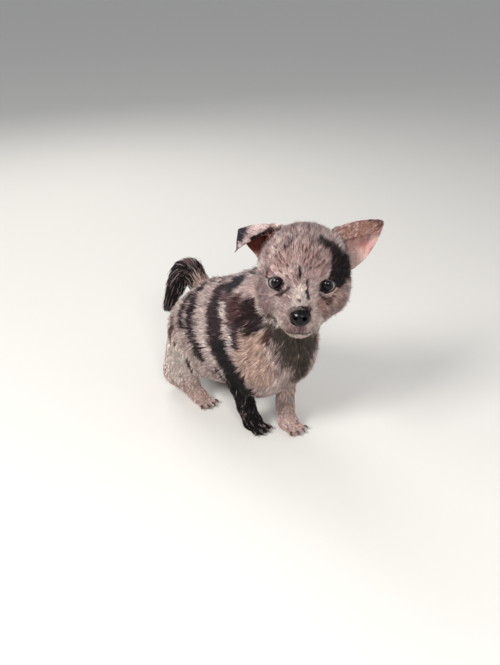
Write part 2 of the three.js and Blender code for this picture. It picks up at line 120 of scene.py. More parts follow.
# Coat: the number of tufts in each region, and its slot
TUFTS = {
    "trunk": (40000, "coat"),
    "neck": (18000, "coat"),
    "head": (44000, "coat"),
    "ears": (11000, "ear"),
    "foreleg_left": (6000, "coat"),
    "foreleg_right": (6000, "dark_coat"),
    "hindlegs": (15000, "coat"),
    "tail": (4200, "dark_coat"),
}
REGIONS = {"torso": "trunk", "lower_jaw": "head", "ear_left": "ears", "ear_right": "ears"}
REGIONS |= {"hindleg_left": "hindlegs", "hindleg_right": "hindlegs"}
MOST_TUFTS = 19000  # in one piece
CLUMP = 6  # tufts that lean together
LEANS = (0.25, 0.5)  # how far the middle and the tip of a tuft go to those of its clump
GUARD_SHARE, GUARD_LENGTH = 0.1, 1.5  # of the longer hairs
MIDWAY = 0.45  # where along a tuft its middle is
SWAY, JITTER = 0.28, 0.16
RUN_SPREAD, RISE_SPREAD, WIDTH_SPREAD = (0.7, 1.25), (0.75, 1.15), (0.8, 1.2)
STRAY_SPREAD = (0.05, 0.25)  # by how much a tip stands out beyond the coat's depth
TONE_SPREAD = (-0.54, 0.3)  # the logarithm of how bright a tuft is
TAIL_TONES = (0.5, 1.1)
SKULL_LOOSE, SKULL_WIDTH = 0.5, 0.85  # the skull's tufts against the others
EAR_RUN = 2.2
FLATNESS = 0.7  # of a tuft's section
# Painted shade and light along each tuft: darker at the root, where the hairs shade each other, and lighter
# at the tip
ROOT_SHADE, TIP_SHADE = 0.5, 1.15
LOWEST = 0.3  # above the floor
PATCH = 0.0015  # half the width of a tuft's patch on the unwrap
PATCH_TRIANGLES = 6000  # in the copy of the skin that gives the unwrap

# Claws, each from the middle of its paw: left, fore. The curve is how far each point lies ahead and up
PAWS = [(10.5, 45), (-10.5, 27), (20, -36.6), (-20, -29.4)]
TOE_SWING = 0.42  # radians
CLAW_CURVE = [(0, 0), (1.4, 0), (2.7, -0.7), (3.6, -2)]
CLAW_RADII = (1.0, 0.9, 0.55)
WHISKER_RADII = (0.09, 0.08, 0.05)
TUBE_SIDES = 12

# Light and camera, in metres
LAMPS = {
    "key": ((-0.95, -0.1, 0.85), 0.09, 0.4, 16, (1.0, 0.985, 0.965)),
    "front": ((-0.45, -0.8, 0.65), 0.09, 0.22, 5.5, (1.0, 0.985, 0.97)),
    "fill": ((0.45, -0.8, 0.4), 0.09, 0.9, 2.0, (0.97, 0.98, 1.0)),
    "rim": ((0.2, 0.8, 0.7), 0.1, 0.5, 4, (1.0, 0.97, 0.94)),
}  # place, height it is aimed at, size, power and colour
SKY, SKY_STRENGTH = (0.92, 0.95, 1.0), 0.5
CAMERA_PLACE = at(-328.14, 402.05, 340.4)
CAMERA_LOOKS = (0.570, 0.680, -0.462)
FOCAL_LENGTH = 40.6

# Colours as they look (sRGB)
CREAM = (0.85, 0.745, 0.73)
FACE_CREAM = (0.74, 0.61, 0.59)
LILAC = (0.60, 0.52, 0.53)
BROW_PINK = (0.68, 0.56, 0.535)
PALE = (0.93, 0.86, 0.83)
GREY = (0.56, 0.46, 0.465)
TAN = (0.82, 0.70, 0.645)
# Painted shadow: the colour of the head's shadow on the throat and chest
THROAT_SHADOW = (0.325, 0.285, 0.25)
MAUVE = (0.46, 0.34, 0.35)
BROWN = (0.34, 0.22, 0.20)
RED_BROWN = (0.34, 0.21, 0.205)
DARK_BROWN = (0.17, 0.085, 0.09)
PURPLE = (0.26, 0.185, 0.21)
SLATE = (0.19, 0.175, 0.205)
DARK = (0.17, 0.115, 0.13)
BLACK = (0.07, 0.05, 0.055)
PINK = (0.94, 0.74, 0.71)
# Painted shade in the open ear's folds
CREASE_SHADE_PINK = (0.82, 0.58, 0.55)
# The inside of the folded ear: its own red-brown, darkened by painted shade under the flap
INNER_BROWN_AND_SHADE = (0.42, 0.20, 0.16)
EAR_BROWN = (0.62, 0.45, 0.40)
# Paler inner ear: partly its own pale skin and partly painted light, also used for a painted highlight
EAR_PALE_AND_LIGHT = (0.97, 0.84, 0.80)
CHEEK_TAN = (0.74, 0.58, 0.52)
LID = (0.10, 0.07, 0.075)
RIM_COLOUR = (0.12, 0.09, 0.10)
NOSE_COLOUR = (0.02, 0.016, 0.02)
CLAW_COLOUR = (0.22, 0.17, 0.165)
WHISKER_COLOUR = (0.80, 0.74, 0.70)
FLOOR_COLOUR = (0.80, 0.79, 0.77)
EYE_COLOURS = [
    (0.0, (0.01, 0.01, 0.01)),
    (0.27, (0.02, 0.015, 0.015)),
    (0.38, (0.10, 0.07, 0.06)),
    (0.50, (0.04, 0.03, 0.03)),
    (0.545, (0.22, 0.20, 0.21)),
    (0.61, (0.52, 0.48, 0.49)),
    (1.0, (0.60, 0.53, 0.53)),
]  # by the share of GAZE_SPAN from the middle of the gaze
GAZE_SPAN = 7

# Marks, each painted over the ones before: colour, radius, softness and the stroke's places. A mark whose
# radius is below 0 is faint even in its middle
BODY_MARKS = [
    (PALE, 11.0, 12.0, (-31, -50, 52), (-31, -34, 44), (-30, -50, 30)),
    (MAUVE, 6.0, 6.0, (-25.5, 15, 110), (-29, 24, 105), (-31, 32, 102)),
    (PALE, 1.6, 3.4, (-27.5, 13.5, 106.5), (-31.5, 19, 99), (-34.8, 25, 91), (-36, 31, 84.5)),
    (CREAM, 4.5, 4.5, (-17.5, 30, 125), (-21.5, 37, 121), (-23.5, 40, 117.5)),
    (TAN, 9.0, 7.0, (-30, 49, 94), (-33, 49, 82), (-29, 55, 70)),
    (PALE, 0.0, 8.0, (-30, -10, 95), (-35, -6, 82), (-36, -1, 68)),
    # Painted shadow of the head over the throat and the right of the chest, in two soft strokes
    (THROAT_SHADOW, 4.0, 14.0, (-18, 62, 108), (-8, 68, 97), (6, 69, 88), (5, 67, 74)),
    (THROAT_SHADOW, 3.0, 14.0, (-11, 66, 90), (-4, 67, 79), (6, 66, 74), (4, 62, 62)),
    (TAN, 7.0, 8.0, (0, -44, 98), (-3, -56, 100)),
    (RED_BROWN, 5.5, 6.0, (-25, 27, 112), (-28, 33, 107)),
    (SLATE, 5.2, 4.0, (-14, 15.5, 123), (-17, 10, 119)),
    (DARK_BROWN, 6.0, 5.0, (-24.5, 41, 114.5), (-25, 47, 112), (-28.5, 43.5, 105)),
    (DARK, 2.0, 2.5, (-24, 52, 108), (-26, 52, 105)),
    (PURPLE, 2.4, 3.2, (-32.5, 34.3, 98.6), (-34.2, 34.6, 93), (-35.2, 38, 86)),
    # Painted shade in the fold between the neck and the chest
    (BROWN, 1.4, 2.0, (-23.5, 58.5, 101.5), (-24, 59, 95.5)),
    (PURPLE, 6.6, 3.4, (-18, -2, 111.5), (-27, 2, 102), (-31, 6, 96)),
    (PURPLE, 8.2, 3.4, (-31, 6, 96), (-34, 11.5, 87), (-35.5, 15, 79)),
    (PURPLE, 10.5, 4.0, (-35.5, 17, 77), (-35, 23, 68), (-33, 30, 58)),
    (DARK, 8.0, 5.0, (-35.5, 19, 75), (-35, 27, 64), (-33, 34, 54)),
    (BLACK, 5.5, 5.0, (-36, 24, 74), (-35, 34, 62), (-31, 40, 50)),
    (DARK, 2.8, 2.8, (-12, -31.5, 103.5), (-20, -30, 98.5), (-28, -25.5, 91.5), (-32.5, -22, 83.5)),
    (DARK, 2.8, 2.8, (-32.5, -22, 83.5), (-35.5, -17.5, 75), (-36.5, -10.5, 67), (-35.5, -5, 58)),
    (DARK, 2.4, 2.8, (-20, -39, 95), (-27, -37, 89.5), (-32.5, -33.5, 83), (-35.5, -29, 76)),
    (BROWN, 2.2, 2.6, (-33.5, -45, 75), (-35, -46, 67), (-33.5, -51, 58)),
    (BROWN, 1.5, 1.8, (-36.5, -39.5, 58)),
    (BROWN, 1.5, 2.0, (-35.7, -24.3, 46.2), (-33.5, -23.5, 38)),
    (PURPLE, 5.0, 3.4, (16, 4, 114), (25, 7, 106), (31, 3, 98), (34.5, 6, 86), (35.5, 1, 76)),
    (SLATE, 4.5, 5.0, (14, 28, 125), (22, 36, 116)),
    (DARK, 2.4, 2.6, (14, -24, 104), (24, -27, 96), (32, -24, 86), (35, -27, 76)),
    (BROWN, 3.2, 3.4, (30, -42, 84), (35, -39, 72)),
    (RED_BROWN, 3.0, 4.0, (34, 32, 92), (36, 27, 82)),
]


def flecks(colour, softness, *places):
    """Small single marks."""
    return [(colour, 0.1, softness, place) for place in places]


# Marks on the head, in its own terms
HEAD_MARKS = [
    (PALE, 2.5, 6.0, (0, 32, -7), (0, 40, -12)),
    (PALE, 3.0, 5.0, (-12, 38, -26), (12, 38, -26)),
    (PALE, 3.0, 5.0, (23, 8, 18), (20.5, 3, 22)),
    (LILAC, -5.0, 16.0, (-27, 19.5, -7), (-25.5, 23.5, -14), (-20, 28.5, -17)),
    (GREY, -2.0, 7.0, (-28, 17, -12), (-25, 22, -17)),
    (BROW_PINK, -3.0, 15.0, (-13, 27, 9), (0, 26, 18), (12, 27, 9)),
    (TAN, -2.0, 10.0, (19, 28, -8), (24, 22, -9), (21, 25, -17)),
    (CHEEK_TAN, -1.5, 7.5, (13.5, 34, -12), (15, 34.5, -20)),
    (SLATE, 1.6, 4.5, (12, 19.5, 23.5), (14.5, 19.5, 21)),
    (DARK, 2.2, 4.2, (16, 18.5, 20.5), (20.5, 18.5, 16.5)),
    (BLACK, 5.6, 2.6, (22.5, 18.5, 12), (24, 17.5, 6), (25, 17, 0)),
    (BLACK, 3.4, 2.6, (20.5, 23, 9), (21, 23.5, 2)),
    (BLACK, 4.6, 2.4, (28, 11, 6), (29.5, 8.5, -1)),
    (BLACK, 3.0, 2.2, (23.5, 23.5, -2.5), (27.5, 17, -3)),
    (DARK, 0.25, 1.4, (-1, 31.5, 8.5), (-1, 32.5, 2.5)),
    (DARK, 0.35, 1.2, (3.6, 32, 0.5), (4.1, 32.6, -5)),
    (SLATE, 0.2, 1.9, (3.9, 33.6, -6), (5, 36, -9.4)),
    (DARK, 0.2, 1.4, (5.2, 36.8, -10.4)),
    (DARK, 0.3, 1.5, (-0.2, 39.4, -10.6)),
    (DARK, 0.1, 1.2, (2.4, 41, -11.8)),
    (BROWN, 0.3, 1.8, (-23.2, 22.3, 3.4), (-23.7, 23.3, -0.7)),
    (DARK, 0.1, 1.4, (-24.2, 22.8, 0), (-22.3, 26, -2)),
    (MAUVE, 0.1, 1.5, (-20, 26, 3.2), (-16, 28.5, 4.2), (-12, 30, 4)),
    *flecks(BROWN, 1.5, (-22.5, 23, 7.5), (-17.5, 27, 7.5), (-9, 30.5, 9), (-9, 31.5, 2), (-12, 28.5, 12)),
    *flecks(BROWN, 1.4, (-3.3, 30.8, 10.5), (3.3, 30.8, 9.5)),
    *flecks(BROWN, 1.5, (9, 30, 8), (12, 29.5, 3)),
    *flecks(SLATE, 2.2, (-11.5, 24.5, 19), (-7.5, 23, 22.5)),
    *flecks(MAUVE, 2.6, (5, 24, 22)),
    *flecks(BROWN, 1.8, (-16.9, 25.3, 12.6)),
    *flecks(MAUVE, 2.4, (-18, 21, 18)),
    *flecks(MAUVE, 2.2, (8.5, 28.5, 15)),
    (DARK, 0.45, 1.1, (-7.5, 32.3, -5.4), (-10, 32.4, -7.8)),
    (DARK, 0.9, 1.1, (-10.5, 32.2, -8.3), (-13, 31.7, -9.8)),
    (BROWN, 0.4, 1.2, (-13.5, 31.5, -10.2), (-17.5, 30, -11)),
    (DARK, 0.3, 1.5, (12.4, 31.5, -8.4), (14.2, 31.7, -11)),
    (BROWN, 0.3, 2.2, (14.2, 31.7, -11), (17.2, 30.3, -11.9)),
    (BROWN, 0.2, 2.4, (17, 30.4, -14.5), (19.5, 29, -13.5)),
    (BROWN, 0.1, 2.0, (17.2, 30.3, -11.9), (22.2, 26.6, -11)),
    (DARK, 0.4, 1.4, (22.2, 26.6, -11.2)),
    (BROWN, 0.4, 1.6, (13.5, 29.5, -13.5)),
    (BROWN, 0.3, 2.0, (19.5, 25, -16.5)),
    (BROWN, 0.3, 2.0, (12.5, 31.5, -17.5)),
    (PURPLE, 0.3, 2.6, (-4.5, 43.8, -15.2), (-2.5, 43.4, -14.4)),
    (PURPLE, 0.8, 3.0, (2.0, 43.0, -14.0), (6.0, 42.4, -14.6)),
    (MAUVE, 0.2, 4.6, (-3.5, 48.5, -27), (3.5, 48.5, -27)),
    (DARK, -0.3, 1.6, (0.5, 49, -25), (0.5, 49, -29)),
    # The hollow in front of the folded ear: red-brown with painted shade under the flap
    (INNER_BROWN_AND_SHADE, 5.2, 1.6, (-30, 4.5, 8), (-27, 4.5, 16), (-24.5, 1, 20)),
    (DARK, 1.3, 2.4, (-24, 1.5, 22.5), (-18.5, 3, 24)),
    (SLATE, 5.0, 5.0, (12, -20, 18), (18, -24, 6)),
    (MAUVE, 4.0, 5.0, (-14, -22, 14), (-20, -19, 2)),
]
FLAP_MARKS = [
    (SLATE, 1.8, 3.6, (-45, 0, 17), (-42.5, -1, 20)),
    (DARK, 0.8, 2.6, (-47, 0, 12), (-46.5, 0, 7)),
    (BLACK, 1.0, 1.0, (-35.4, 0, 15.4), (-29, -0.5, 19), (-19.5, -0.8, 23)),
]

# Each ear in the head's terms: lower and upper end of its root, its crest's pull, tip, and where it opens
EARS = {
    "ear_left": (at(28, -3, -6), at(19, -5, 22), at(36, -8, 32), at(52, -7, 29), at(-0.1, 0.98, 0.2)),
    "ear_right": (at(-28, -3, -2), at(-16, -5, 22), at(-30, -7, 25), at(-47, -5, 18.5), at(0.1, 0.98, 0.2)),
}

chance = np.random.default_rng(7)

# Small helpers


def norm(vectors):
    return np.linalg.norm(vectors, axis=-1)


def unit(vectors):
    return vectors / np.maximum(norm(vectors)[..., None], 1e-9)


def smooth(value):
    value = np.clip(value, 0, 1)
    return value * value * (3 - 2 * value)


def fade(value, start, end):
    """0 up to the start and 1 from the end on, with a soft step between. The end can be the lower one."""
    return smooth((value - start) / (end - start))


def mix(start, end, share):
    return start + (end - start) * share


def hump(value, width):
    """1 at a value of 0 and soon 0 beyond the width."""
    return np.exp(-((value / width) ** 2))


def terms(places):
    """How far left, fore and up the places are."""
    return places[:, 0], -places[:, 1], places[:, 2]


def linear(colour):
    colour = np.asarray(colour, float)
    return np.where(colour <= 0.04045, colour / 12.92, ((colour + 0.055) / 1.055) ** 2.4)


def belongs(nodes, *starts):
    """Which of the nodes have a name that starts so."""
    return np.any([np.char.startswith(nodes, start) for start in starts], axis=0)


def ripple(points, size, seed):
    """Soft noise from -1 to 1 that changes over about that size."""
    waves = np.random.default_rng(seed)
    total = np.zeros(len(points))
    for _ in range(7):
        direction = unit(waves.normal(size=3)) * waves.uniform(0.7, 1.5) * math.pi / size
        total += np.sin(points @ direction + waves.uniform(0, 2 * math.pi))
    return np.clip(total / 3.2, -1, 1)


def path_distance(points, path):
    """How far the points are from a path of straight stretches."""
    nearest = np.full(len(points), np.inf)
    for start, end in zip(path, path[1:]):
        along = end - start
        share = np.clip((points - start) @ along / max(along @ along, 1e-9), 0, 1)
        nearest = np.minimum(nearest, norm(points - start - share[:, None] * along))
    return nearest


def stroke(points, places, radius, softness):
    """1 on a stroke through those places and 0 beyond its soft edge."""
    path = np.array([at(*place) for place in places])
    if len(path) == 1:
        path = np.vstack([path, path])
    nearest = path_distance(points, path) + ripple(points, 5, 11) * radius * 0.25
    return 1 - smooth((nearest - radius) / softness)


# The head's frame
HEAD_AXES = np.array(
    Matrix.Rotation(math.radians(HEAD_TURN), 3, "Z")
    @ Matrix.Rotation(math.radians(HEAD_LIFT), 3, "X")
    @ Matrix.Rotation(math.radians(HEAD_TILT), 3, "Y")
)


def from_head(points):
    return points @ HEAD_AXES.T + HEAD_PLACE


def to_head(points):
    return (points - HEAD_PLACE) @ HEAD_AXES


def eye_centre(side):
    return at(side * EYE_SPACING / 2, EYE_FORE, EYE_UP)


# Where the puppy's own middle lies in the frame, from where the eyes are
eyes_middle = np.mean([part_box("eye_left"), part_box("eye_right")], axis=(0, 1))
MIDDLE = eyes_middle / MM - from_head((eye_centre(1) + eye_centre(-1)) / 2)

# Meshes


def normals_of(points, triangles):
    corners = points[triangles]
    across = np.cross(corners[:, 1] - corners[:, 0], corners[:, 2] - corners[:, 0])
    total = np.zeros_like(points)
    for corner in range(3):
        for axis in range(3):
            total[:, axis] += np.bincount(triangles[:, corner], across[:, axis], len(points))
    return unit(total)


def new_mesh(name, points, faces):
    """A smooth mesh in metres in the frame, from places in mm and an array of triangles."""
    mesh = bpy.data.meshes.new(name)
    mesh.vertices.add(len(points))
    mesh.vertices.foreach_set("co", ((points + MIDDLE) * MM).astype(np.float32).ravel())
    mesh.loops.add(faces.size)
    mesh.loops.foreach_set("vertex_index", faces.astype(np.int32).ravel())
    mesh.polygons.add(len(faces))
    mesh.polygons.foreach_set("loop_start", np.arange(0, faces.size, 3, dtype=np.int32))
    mesh.polygons.foreach_set("use_smooth", np.ones(len(faces), bool))
    mesh.update(calc_edges=True)
    return mesh


def new_object(name, data):
    thing = bpy.data.objects.new(name, data)
    bpy.context.scene.collection.objects.link(thing)
    return thing


def piece_of(mesh, material, replaced=()):
    """A finished piece of the puppy, with its mesh's name."""
    piece = new_object(mesh.name, mesh)
    mesh.materials.append(material)
    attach(piece, "root")
    if replaced:
        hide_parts(*replaced)


def set_colours(mesh, colours):
    layer = mesh.color_attributes.new("coat_colour", "FLOAT_COLOR", "POINT")
    opaque = np.column_stack([colours, np.ones(len(colours))])
    layer.data.foreach_set("color", opaque.astype(np.float32).ravel())


def arrays_of(mesh):
    points = np.empty(len(mesh.vertices) * 3)
    mesh.vertices.foreach_get("co", points)
    corners = np.empty(len(mesh.loops), np.int32)
    mesh.loops.foreach_get("vertex_index", corners)
    return points.reshape(-1, 3) / MM - MIDDLE, corners.reshape(-1, 3)


def edited(mesh, edit):
    shape = bmesh.new()
    shape.from_mesh(mesh)
    edit(shape)
    shape.to_mesh(mesh)
    shape.free()
    return mesh


def emptied(mesh):
    """A mesh's points and triangles. The mesh is gone afterwards."""
    found = arrays_of(edited(mesh, lambda shape: bmesh.ops.triangulate(shape, faces=shape.faces)))
    bpy.data.meshes.remove(mesh)
    return found


def node_arrays(name):
    """A CAD node's points and triangles, with its shared points merged."""
    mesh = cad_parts[name].data.copy()
    edited(mesh, lambda shape: bmesh.ops.remove_doubles(shape, verts=shape.verts, dist=1e-6))
    return emptied(mesh)


def modified(name, points, triangles, kind, **settings):
    """The mesh that one modifier makes of a surface."""
    holder = new_object(name, new_mesh(name, points, triangles))
    modifier = holder.modifiers.new(name, kind)
    for key, value in settings.items():
        setattr(modifier, key, value)
    result = bpy.data.meshes.new_from_object(holder.evaluated_get(bpy.context.evaluated_depsgraph_get()))
    bpy.data.objects.remove(holder)
    return result


def remeshed(points, triangles, voxel):
    """One closed surface round everything in there, as points and triangles."""
    return emptied(modified("rough", points, triangles, "REMESH", mode="VOXEL", voxel_size=voxel * MM))


def finer(points, triangles, wanted):
    """Cuts every triangle that has a wanted edge into smaller ones."""

    def cut(shape):
        edges = [e for e in shape.edges if wanted[e.verts[0].index] and wanted[e.verts[1].index]]
        bmesh.ops.subdivide_edges(shape, edges=edges, cuts=1, use_grid_fill=True)

    return emptied(edited(new_mesh("finer", points, triangles), cut))


class Net:
    """The edges of a triangle mesh, for means over each point's neighbours."""

    def __init__(self, triangles, count):
        pairs = np.vstack([triangles[:, [0, 1]], triangles[:, [1, 2]], triangles[:, [2, 0]]])
        self.start, self.end = np.vstack([pairs, pairs[:, ::-1]]).T
        self.count = count
        self.degree = np.bincount(self.start, minlength=count)

    def mean(self, values):
        if values.ndim == 1:
            return np.bincount(self.start, values[self.end], self.count) / self.degree
        return np.column_stack([self.mean(column) for column in values.T])

    def smoothed(self, values, rounds):
        for _ in range(rounds):
            values = mix(values, self.mean(values), 0.7)
        return values


def evened(points, net, rounds, share):
    """Smooths a surface without shrinking it. share is how much of it each point takes."""
    share = np.broadcast_to(share, len(points))[:, None]
    for _ in range(rounds):
        for step in (0.55, -0.58):
            points = points + (net.mean(points) - points) * step * share
    return points


# Tubes


def turns(sides):
    return np.linspace(0, 2 * math.pi, sides, endpoint=False)


def rings_round(middles, side, beside, radii, angles):
    """A ring of points round each middle, in the plane of its two cross directions."""
    cosine, sine = np.cos(angles)[:, None], np.sin(angles)[:, None]
    section = cosine * side[..., None, :] + sine * beside[..., None, :]
    return middles[..., None, :] + section * np.asarray(radii)[..., None, None]


def wall(rings, sides):
    """The triangles between a tube's rings, facing outwards where beside is side x ahead."""
    faces = []
    for ring in range(rings - 1):
        for k in range(sides):
            a, b = ring * sides + k, ring * sides + (k + 1) % sides
            faces += [(b, a, b + sides), (b + sides, a, a + sides)]
    return faces


def fan(ring, sides, middle):
    """The triangles from a ring to a point past its end."""
    return [(ring * sides + (k + 1) % sides, ring * sides + k, middle) for k in range(sides)]


def tube_faces(rings, sides):
    """A closed tube's triangles. Its points are those of its rings and then the middles of both ends."""
    start = [face[::-1] for face in fan(0, sides, rings * sides)]
    return np.array(wall(rings, sides) + start + fan(rings - 1, sides, rings * sides + 1))


def copies(points, faces):
    """The points and faces of many shapes as one array each, where all shapes have the same faces."""
    count, own = points.shape[:2]
    return points.reshape(-1, 3), (np.arange(count)[:, None, None] * own + faces).reshape(-1, 3)


def thin_tubes(name, paths, radii):
    """Tapering closed tubes. paths hold each tube's middle points, the last one its tip."""
    paths = np.array(paths)
    ahead = unit(np.diff(paths, axis=1))
    side = unit(np.cross(ahead, [0.3, 0.2, 0.93]))
    rings = rings_round(paths[:, :-1], side, np.cross(side, ahead), radii, turns(TUBE_SIDES))
    points = np.concatenate([rings.reshape(len(paths), -1, 3), paths[:, [0, -1]]], axis=1)
    return new_mesh(name, *copies(points, tube_faces(len(radii), TUBE_SIDES)))


# Tail


def spine_frames(places, steps):
    """Points, directions and two cross directions along a smooth curve through the places."""
    places = np.array(places)
    ends = np.vstack([2 * places[0] - places[1], places, 2 * places[-1] - places[-2]])
    shares = np.linspace(0, len(places) - 1 - 1e-6, steps)
    index = shares.astype(int)
    t = (shares - index)[:, None]
    p0, p1, p2, p3 = (ends[index + k] for k in range(4))
    square, cube = 2 * p0 - 5 * p1 + 4 * p2 - p3, 3 * p1 - p0 - 3 * p2 + p3
    points = 0.5 * (2 * p1 + (p2 - p0) * t + square * t**2 + cube * t**3)
    directions = unit(np.gradient(points, axis=0))
    left = np.array([1.0, 0, 0])
    side = unit(left - (directions @ left)[:, None] * directions)
    return points, directions, side, np.cross(side, directions)


def tail_core():
    steps, sides = 40, 14
    points, _, side, up = spine_frames(TAIL_SPINE, steps)
    rings = rings_round(points, side, up, np.linspace(*TAIL_CORE, steps), turns(sides))
    return np.vstack([rings.reshape(-1, 3), points[0], points[-1]]), tube_faces(steps, sides)


# Skin


def flesh_arrays():
    """Every solid that the skin covers, grown a little so that they meet, and the node of each triangle."""
    parts = {}
    for name in [*FLESH, "eye_left", "eye_right"]:
        own, faces = node_arrays(name)
        parts[name] = own + normals_of(own, faces) * (EYE_GROW if name.startswith("eye") else GROW), faces
    parts["tail"] = tail_core()
    starts = np.cumsum([0, *(len(own) for own, _ in parts.values())])
    points = np.vstack([own for own, _ in parts.values()])
    triangles = np.vstack([faces + start for (_, faces), start in zip(parts.values(), starts)])
    return points, triangles, np.repeat(list(parts), [len(faces) for _, faces in parts.values()])


def eye_axes(side):
    """The directions across and out of the opening between an eye's lids, in the head's frame."""
    turn = math.radians(OPENING_TURN[side])
    return np.array([math.cos(turn), math.sin(turn), 0]), np.array([math.sin(turn), -math.cos(turn), 0])


def opening_reach(angle, side):
    """How far the lids' rim is from the middle of the opening. It runs on to both corners."""
    towards_nose = math.radians(-20 if side < 0 else 200)
    reach = 1 / np.hypot(np.cos(angle) / OPENING_HALF[0], np.sin(angle) / OPENING_HALF[1])
    for sign, (length, bluntness) in ((1, INNER_CORNER), (-1, OUTER_CORNER)):
        reach = reach + length * np.exp((sign * np.cos(angle - towards_nose) - 1) / bluntness)
    return reach


def eye_terms(head, side):
    """Places in the head's frame as an eye sees them: how far away, out and up, and where on the lids.
    That is 1 on the middle of their rim, less inside the opening and more outside."""
    across, out = eye_axes(side)
    offset = head - eye_centre(side)
    beside, up = offset @ across, offset[:, 2]
    ring = np.hypot(beside, up) / opening_reach(np.arctan2(up, beside), side)
    return norm(offset), offset @ out, up, ring


def eye_distance(head):
    """How far places in the head's frame are from the centre of the nearer eye."""
    return np.minimum(norm(head - eye_centre(1)), norm(head - eye_centre(-1)))


def lips_distance(head):
    """How far places in the head's frame are from the mouth line, seen from the side."""
    _, fore, up = terms(head)
    return path_distance(np.column_stack([fore, up]), LIPS)


def nose_distance(head):
    """Less than 1 for places in the head's frame that are on the bare skin behind the nose."""
    return norm((head - NOSE_CENTRE - NOSE_SHIFT) / NOSE_REACH)


def coat_depths(points, nodes):
    """How thick the coat is over each point of the flesh."""
    depth = np.zeros(len(points))
    for start, value in DEPTHS.items():
        depth[belongs(nodes, start)] = value
    depth[(nodes == "torso") & (points[:, 2] < BELLY_TOP)] = BELLY_DEPTH
    legs, skull = belongs(nodes, *LEGS), belongs(nodes, *SKULL)
    depth[legs] = mix(FOOT_DEPTH, THIGH_DEPTH, fade(points[legs, 2], 6, 61))
    head = to_head(points[skull])
    by_eyes = mix(LID_DEPTH, CHEEK_DEPTH, fade(eye_distance(head), 8, 13.5))
    depth[skull] = np.minimum(mix(CHEEK_DEPTH, MUZZLE_DEPTH, fade(-head[:, 1], 20, 36)), by_eyes)
    return depth


def shape_face(points, normals):
    """Lids, the mouth line and the groove under the nose, cut and raised in the skin."""
    head = to_head(points)
    for side in (-1, 1):
        reach, out, up, ring = eye_terms(head, side)
        lid = np.maximum(reach, EYE_RADIUS + 0.6)
        edge = EYE_RADIUS + mix(0.35, 1.4, fade(ring, 1.15, 1.5))
        lid = mix(lid, np.minimum(lid, edge), fade(ring, 2.0, 1.5))
        for upwards, (crease, place) in CREASES.items():
            lid -= crease * hump(ring - place, CREASE_WIDTH) * smooth((up * upwards + upwards) / 3)
        wanted = mix(EYE_RADIUS - 0.8, lid, fade(ring, 0.98, 1.22))
        share = fade(ring, 2.4, 1.9) * (out > 0.5) * (reach < LID_REACH)
        longer = mix(reach, wanted, share) / np.maximum(reach, 1e-6)
        head = eye_centre(side) + (head - eye_centre(side)) * longer[:, None]
    left, fore, up = terms(head)
    inwards = BOWL_DEPTH * fade(norm((head - BOWL_CENTRE) / BOWL_SIZE), 1, 0)
    upright = fade(normals @ HEAD_AXES[:, 2], -1.4, -0.9)
    inwards += LIPS_DEPTH * hump(lips_distance(head), LIPS_WIDTH) * fade(fore, 19, 22) * upright
    inwards += GROOVE_DEPTH * hump(left, GROOVE_WIDTH) * fade(fore, 38, 41) * fade(up, -21, -23)
    return from_head(head) - normals * inwards[:, None]


def make_skin():
    """The skin's points, triangles, the node under each point, the coat's depth there and its net."""
    flesh, flesh_triangles, flesh_nodes = flesh_arrays()
    points, triangles = remeshed(flesh, flesh_triangles, VOXEL)
    tree = BVHTree.FromPolygons(flesh.tolist(), flesh_triangles.tolist())

    def nodes_under(places):
        return flesh_nodes[[tree.find_nearest(place)[2] for place in places.tolist()]]

    nodes = nodes_under(points)
    net = Net(triangles, len(points))
    share = np.ones(len(points))
    share[belongs(nodes, *LEGS) & (points[:, 2] < FOOT_TOP)] = FOOT_EVENING
    for start, value in EVENING.items():
        share[belongs(nodes, start)] = value
    points = evened(points, net, SKIN_ROUNDS, net.smoothed(share, 5))
    on_ears = net.smoothed(belongs(nodes, "ear").astype(float), 3)[:, None]
    for _ in range(EAR_ROUNDS):
        points = mix(points, net.mean(points), 0.5 * on_ears)
    depth = net.smoothed(coat_depths(points, nodes), 7)
    inset = np.where(nodes == "tail", 0.0, GROW) + depth
    points = points - normals_of(points, triangles) * net.smoothed(inset, 4)[:, None]
    # The face's skin is cut finer, then shaped
    head = to_head(points)
    fore = -head[:, 1]
    by_eyes = (eye_distance(head) < EYE_REACH) & (fore > EYE_FORE - 3)
    points, triangles = finer(points, triangles, by_eyes | (fore > 35))
    points = shape_face(points, normals_of(points, triangles))
    nodes = nodes_under(points)
    nodes[belongs(nodes, "eye")] = "head"
    net = Net(triangles, len(points))
    return points, triangles, nodes, net.smoothed(coat_depths(points, nodes), 8), net


# Coat


def ear_terms(head, name):
    """The share of the way from an ear's root to its tip, and how far in front of its crest places are."""
    _, high, pull, tip, opens = EARS[name]
    along = np.clip((head - high) @ (tip - high) / ((tip - high) @ (tip - high)), 0, 1)
    share = along[:, None]
    crest = (1 - share) ** 2 * high + 2 * share * (1 - share) * pull + share**2 * tip
    return along, (head - crest) @ unit(opens)


def ear_sides(points, normals, nodes):
    """For points on the ears: 1 on bare inner skin, and 1 on the folded flap's outer side."""
    inner, flap = np.zeros(len(points)), np.zeros(len(points))
    for name, (*_, opens) in EARS.items():
        own = nodes == name
        faces = normals[own] @ HEAD_AXES @ unit(opens)
        on_flap = fade(ear_terms(to_head(points[own]), name)[1], 1.2, 2.4)
        inner[own] = mix(fade(faces, -0.1, 0.3), fade(faces, -0.2, -0.6), on_flap)
        flap[own] = on_flap * fade(faces, -0.3, 0.1)
    return inner, flap


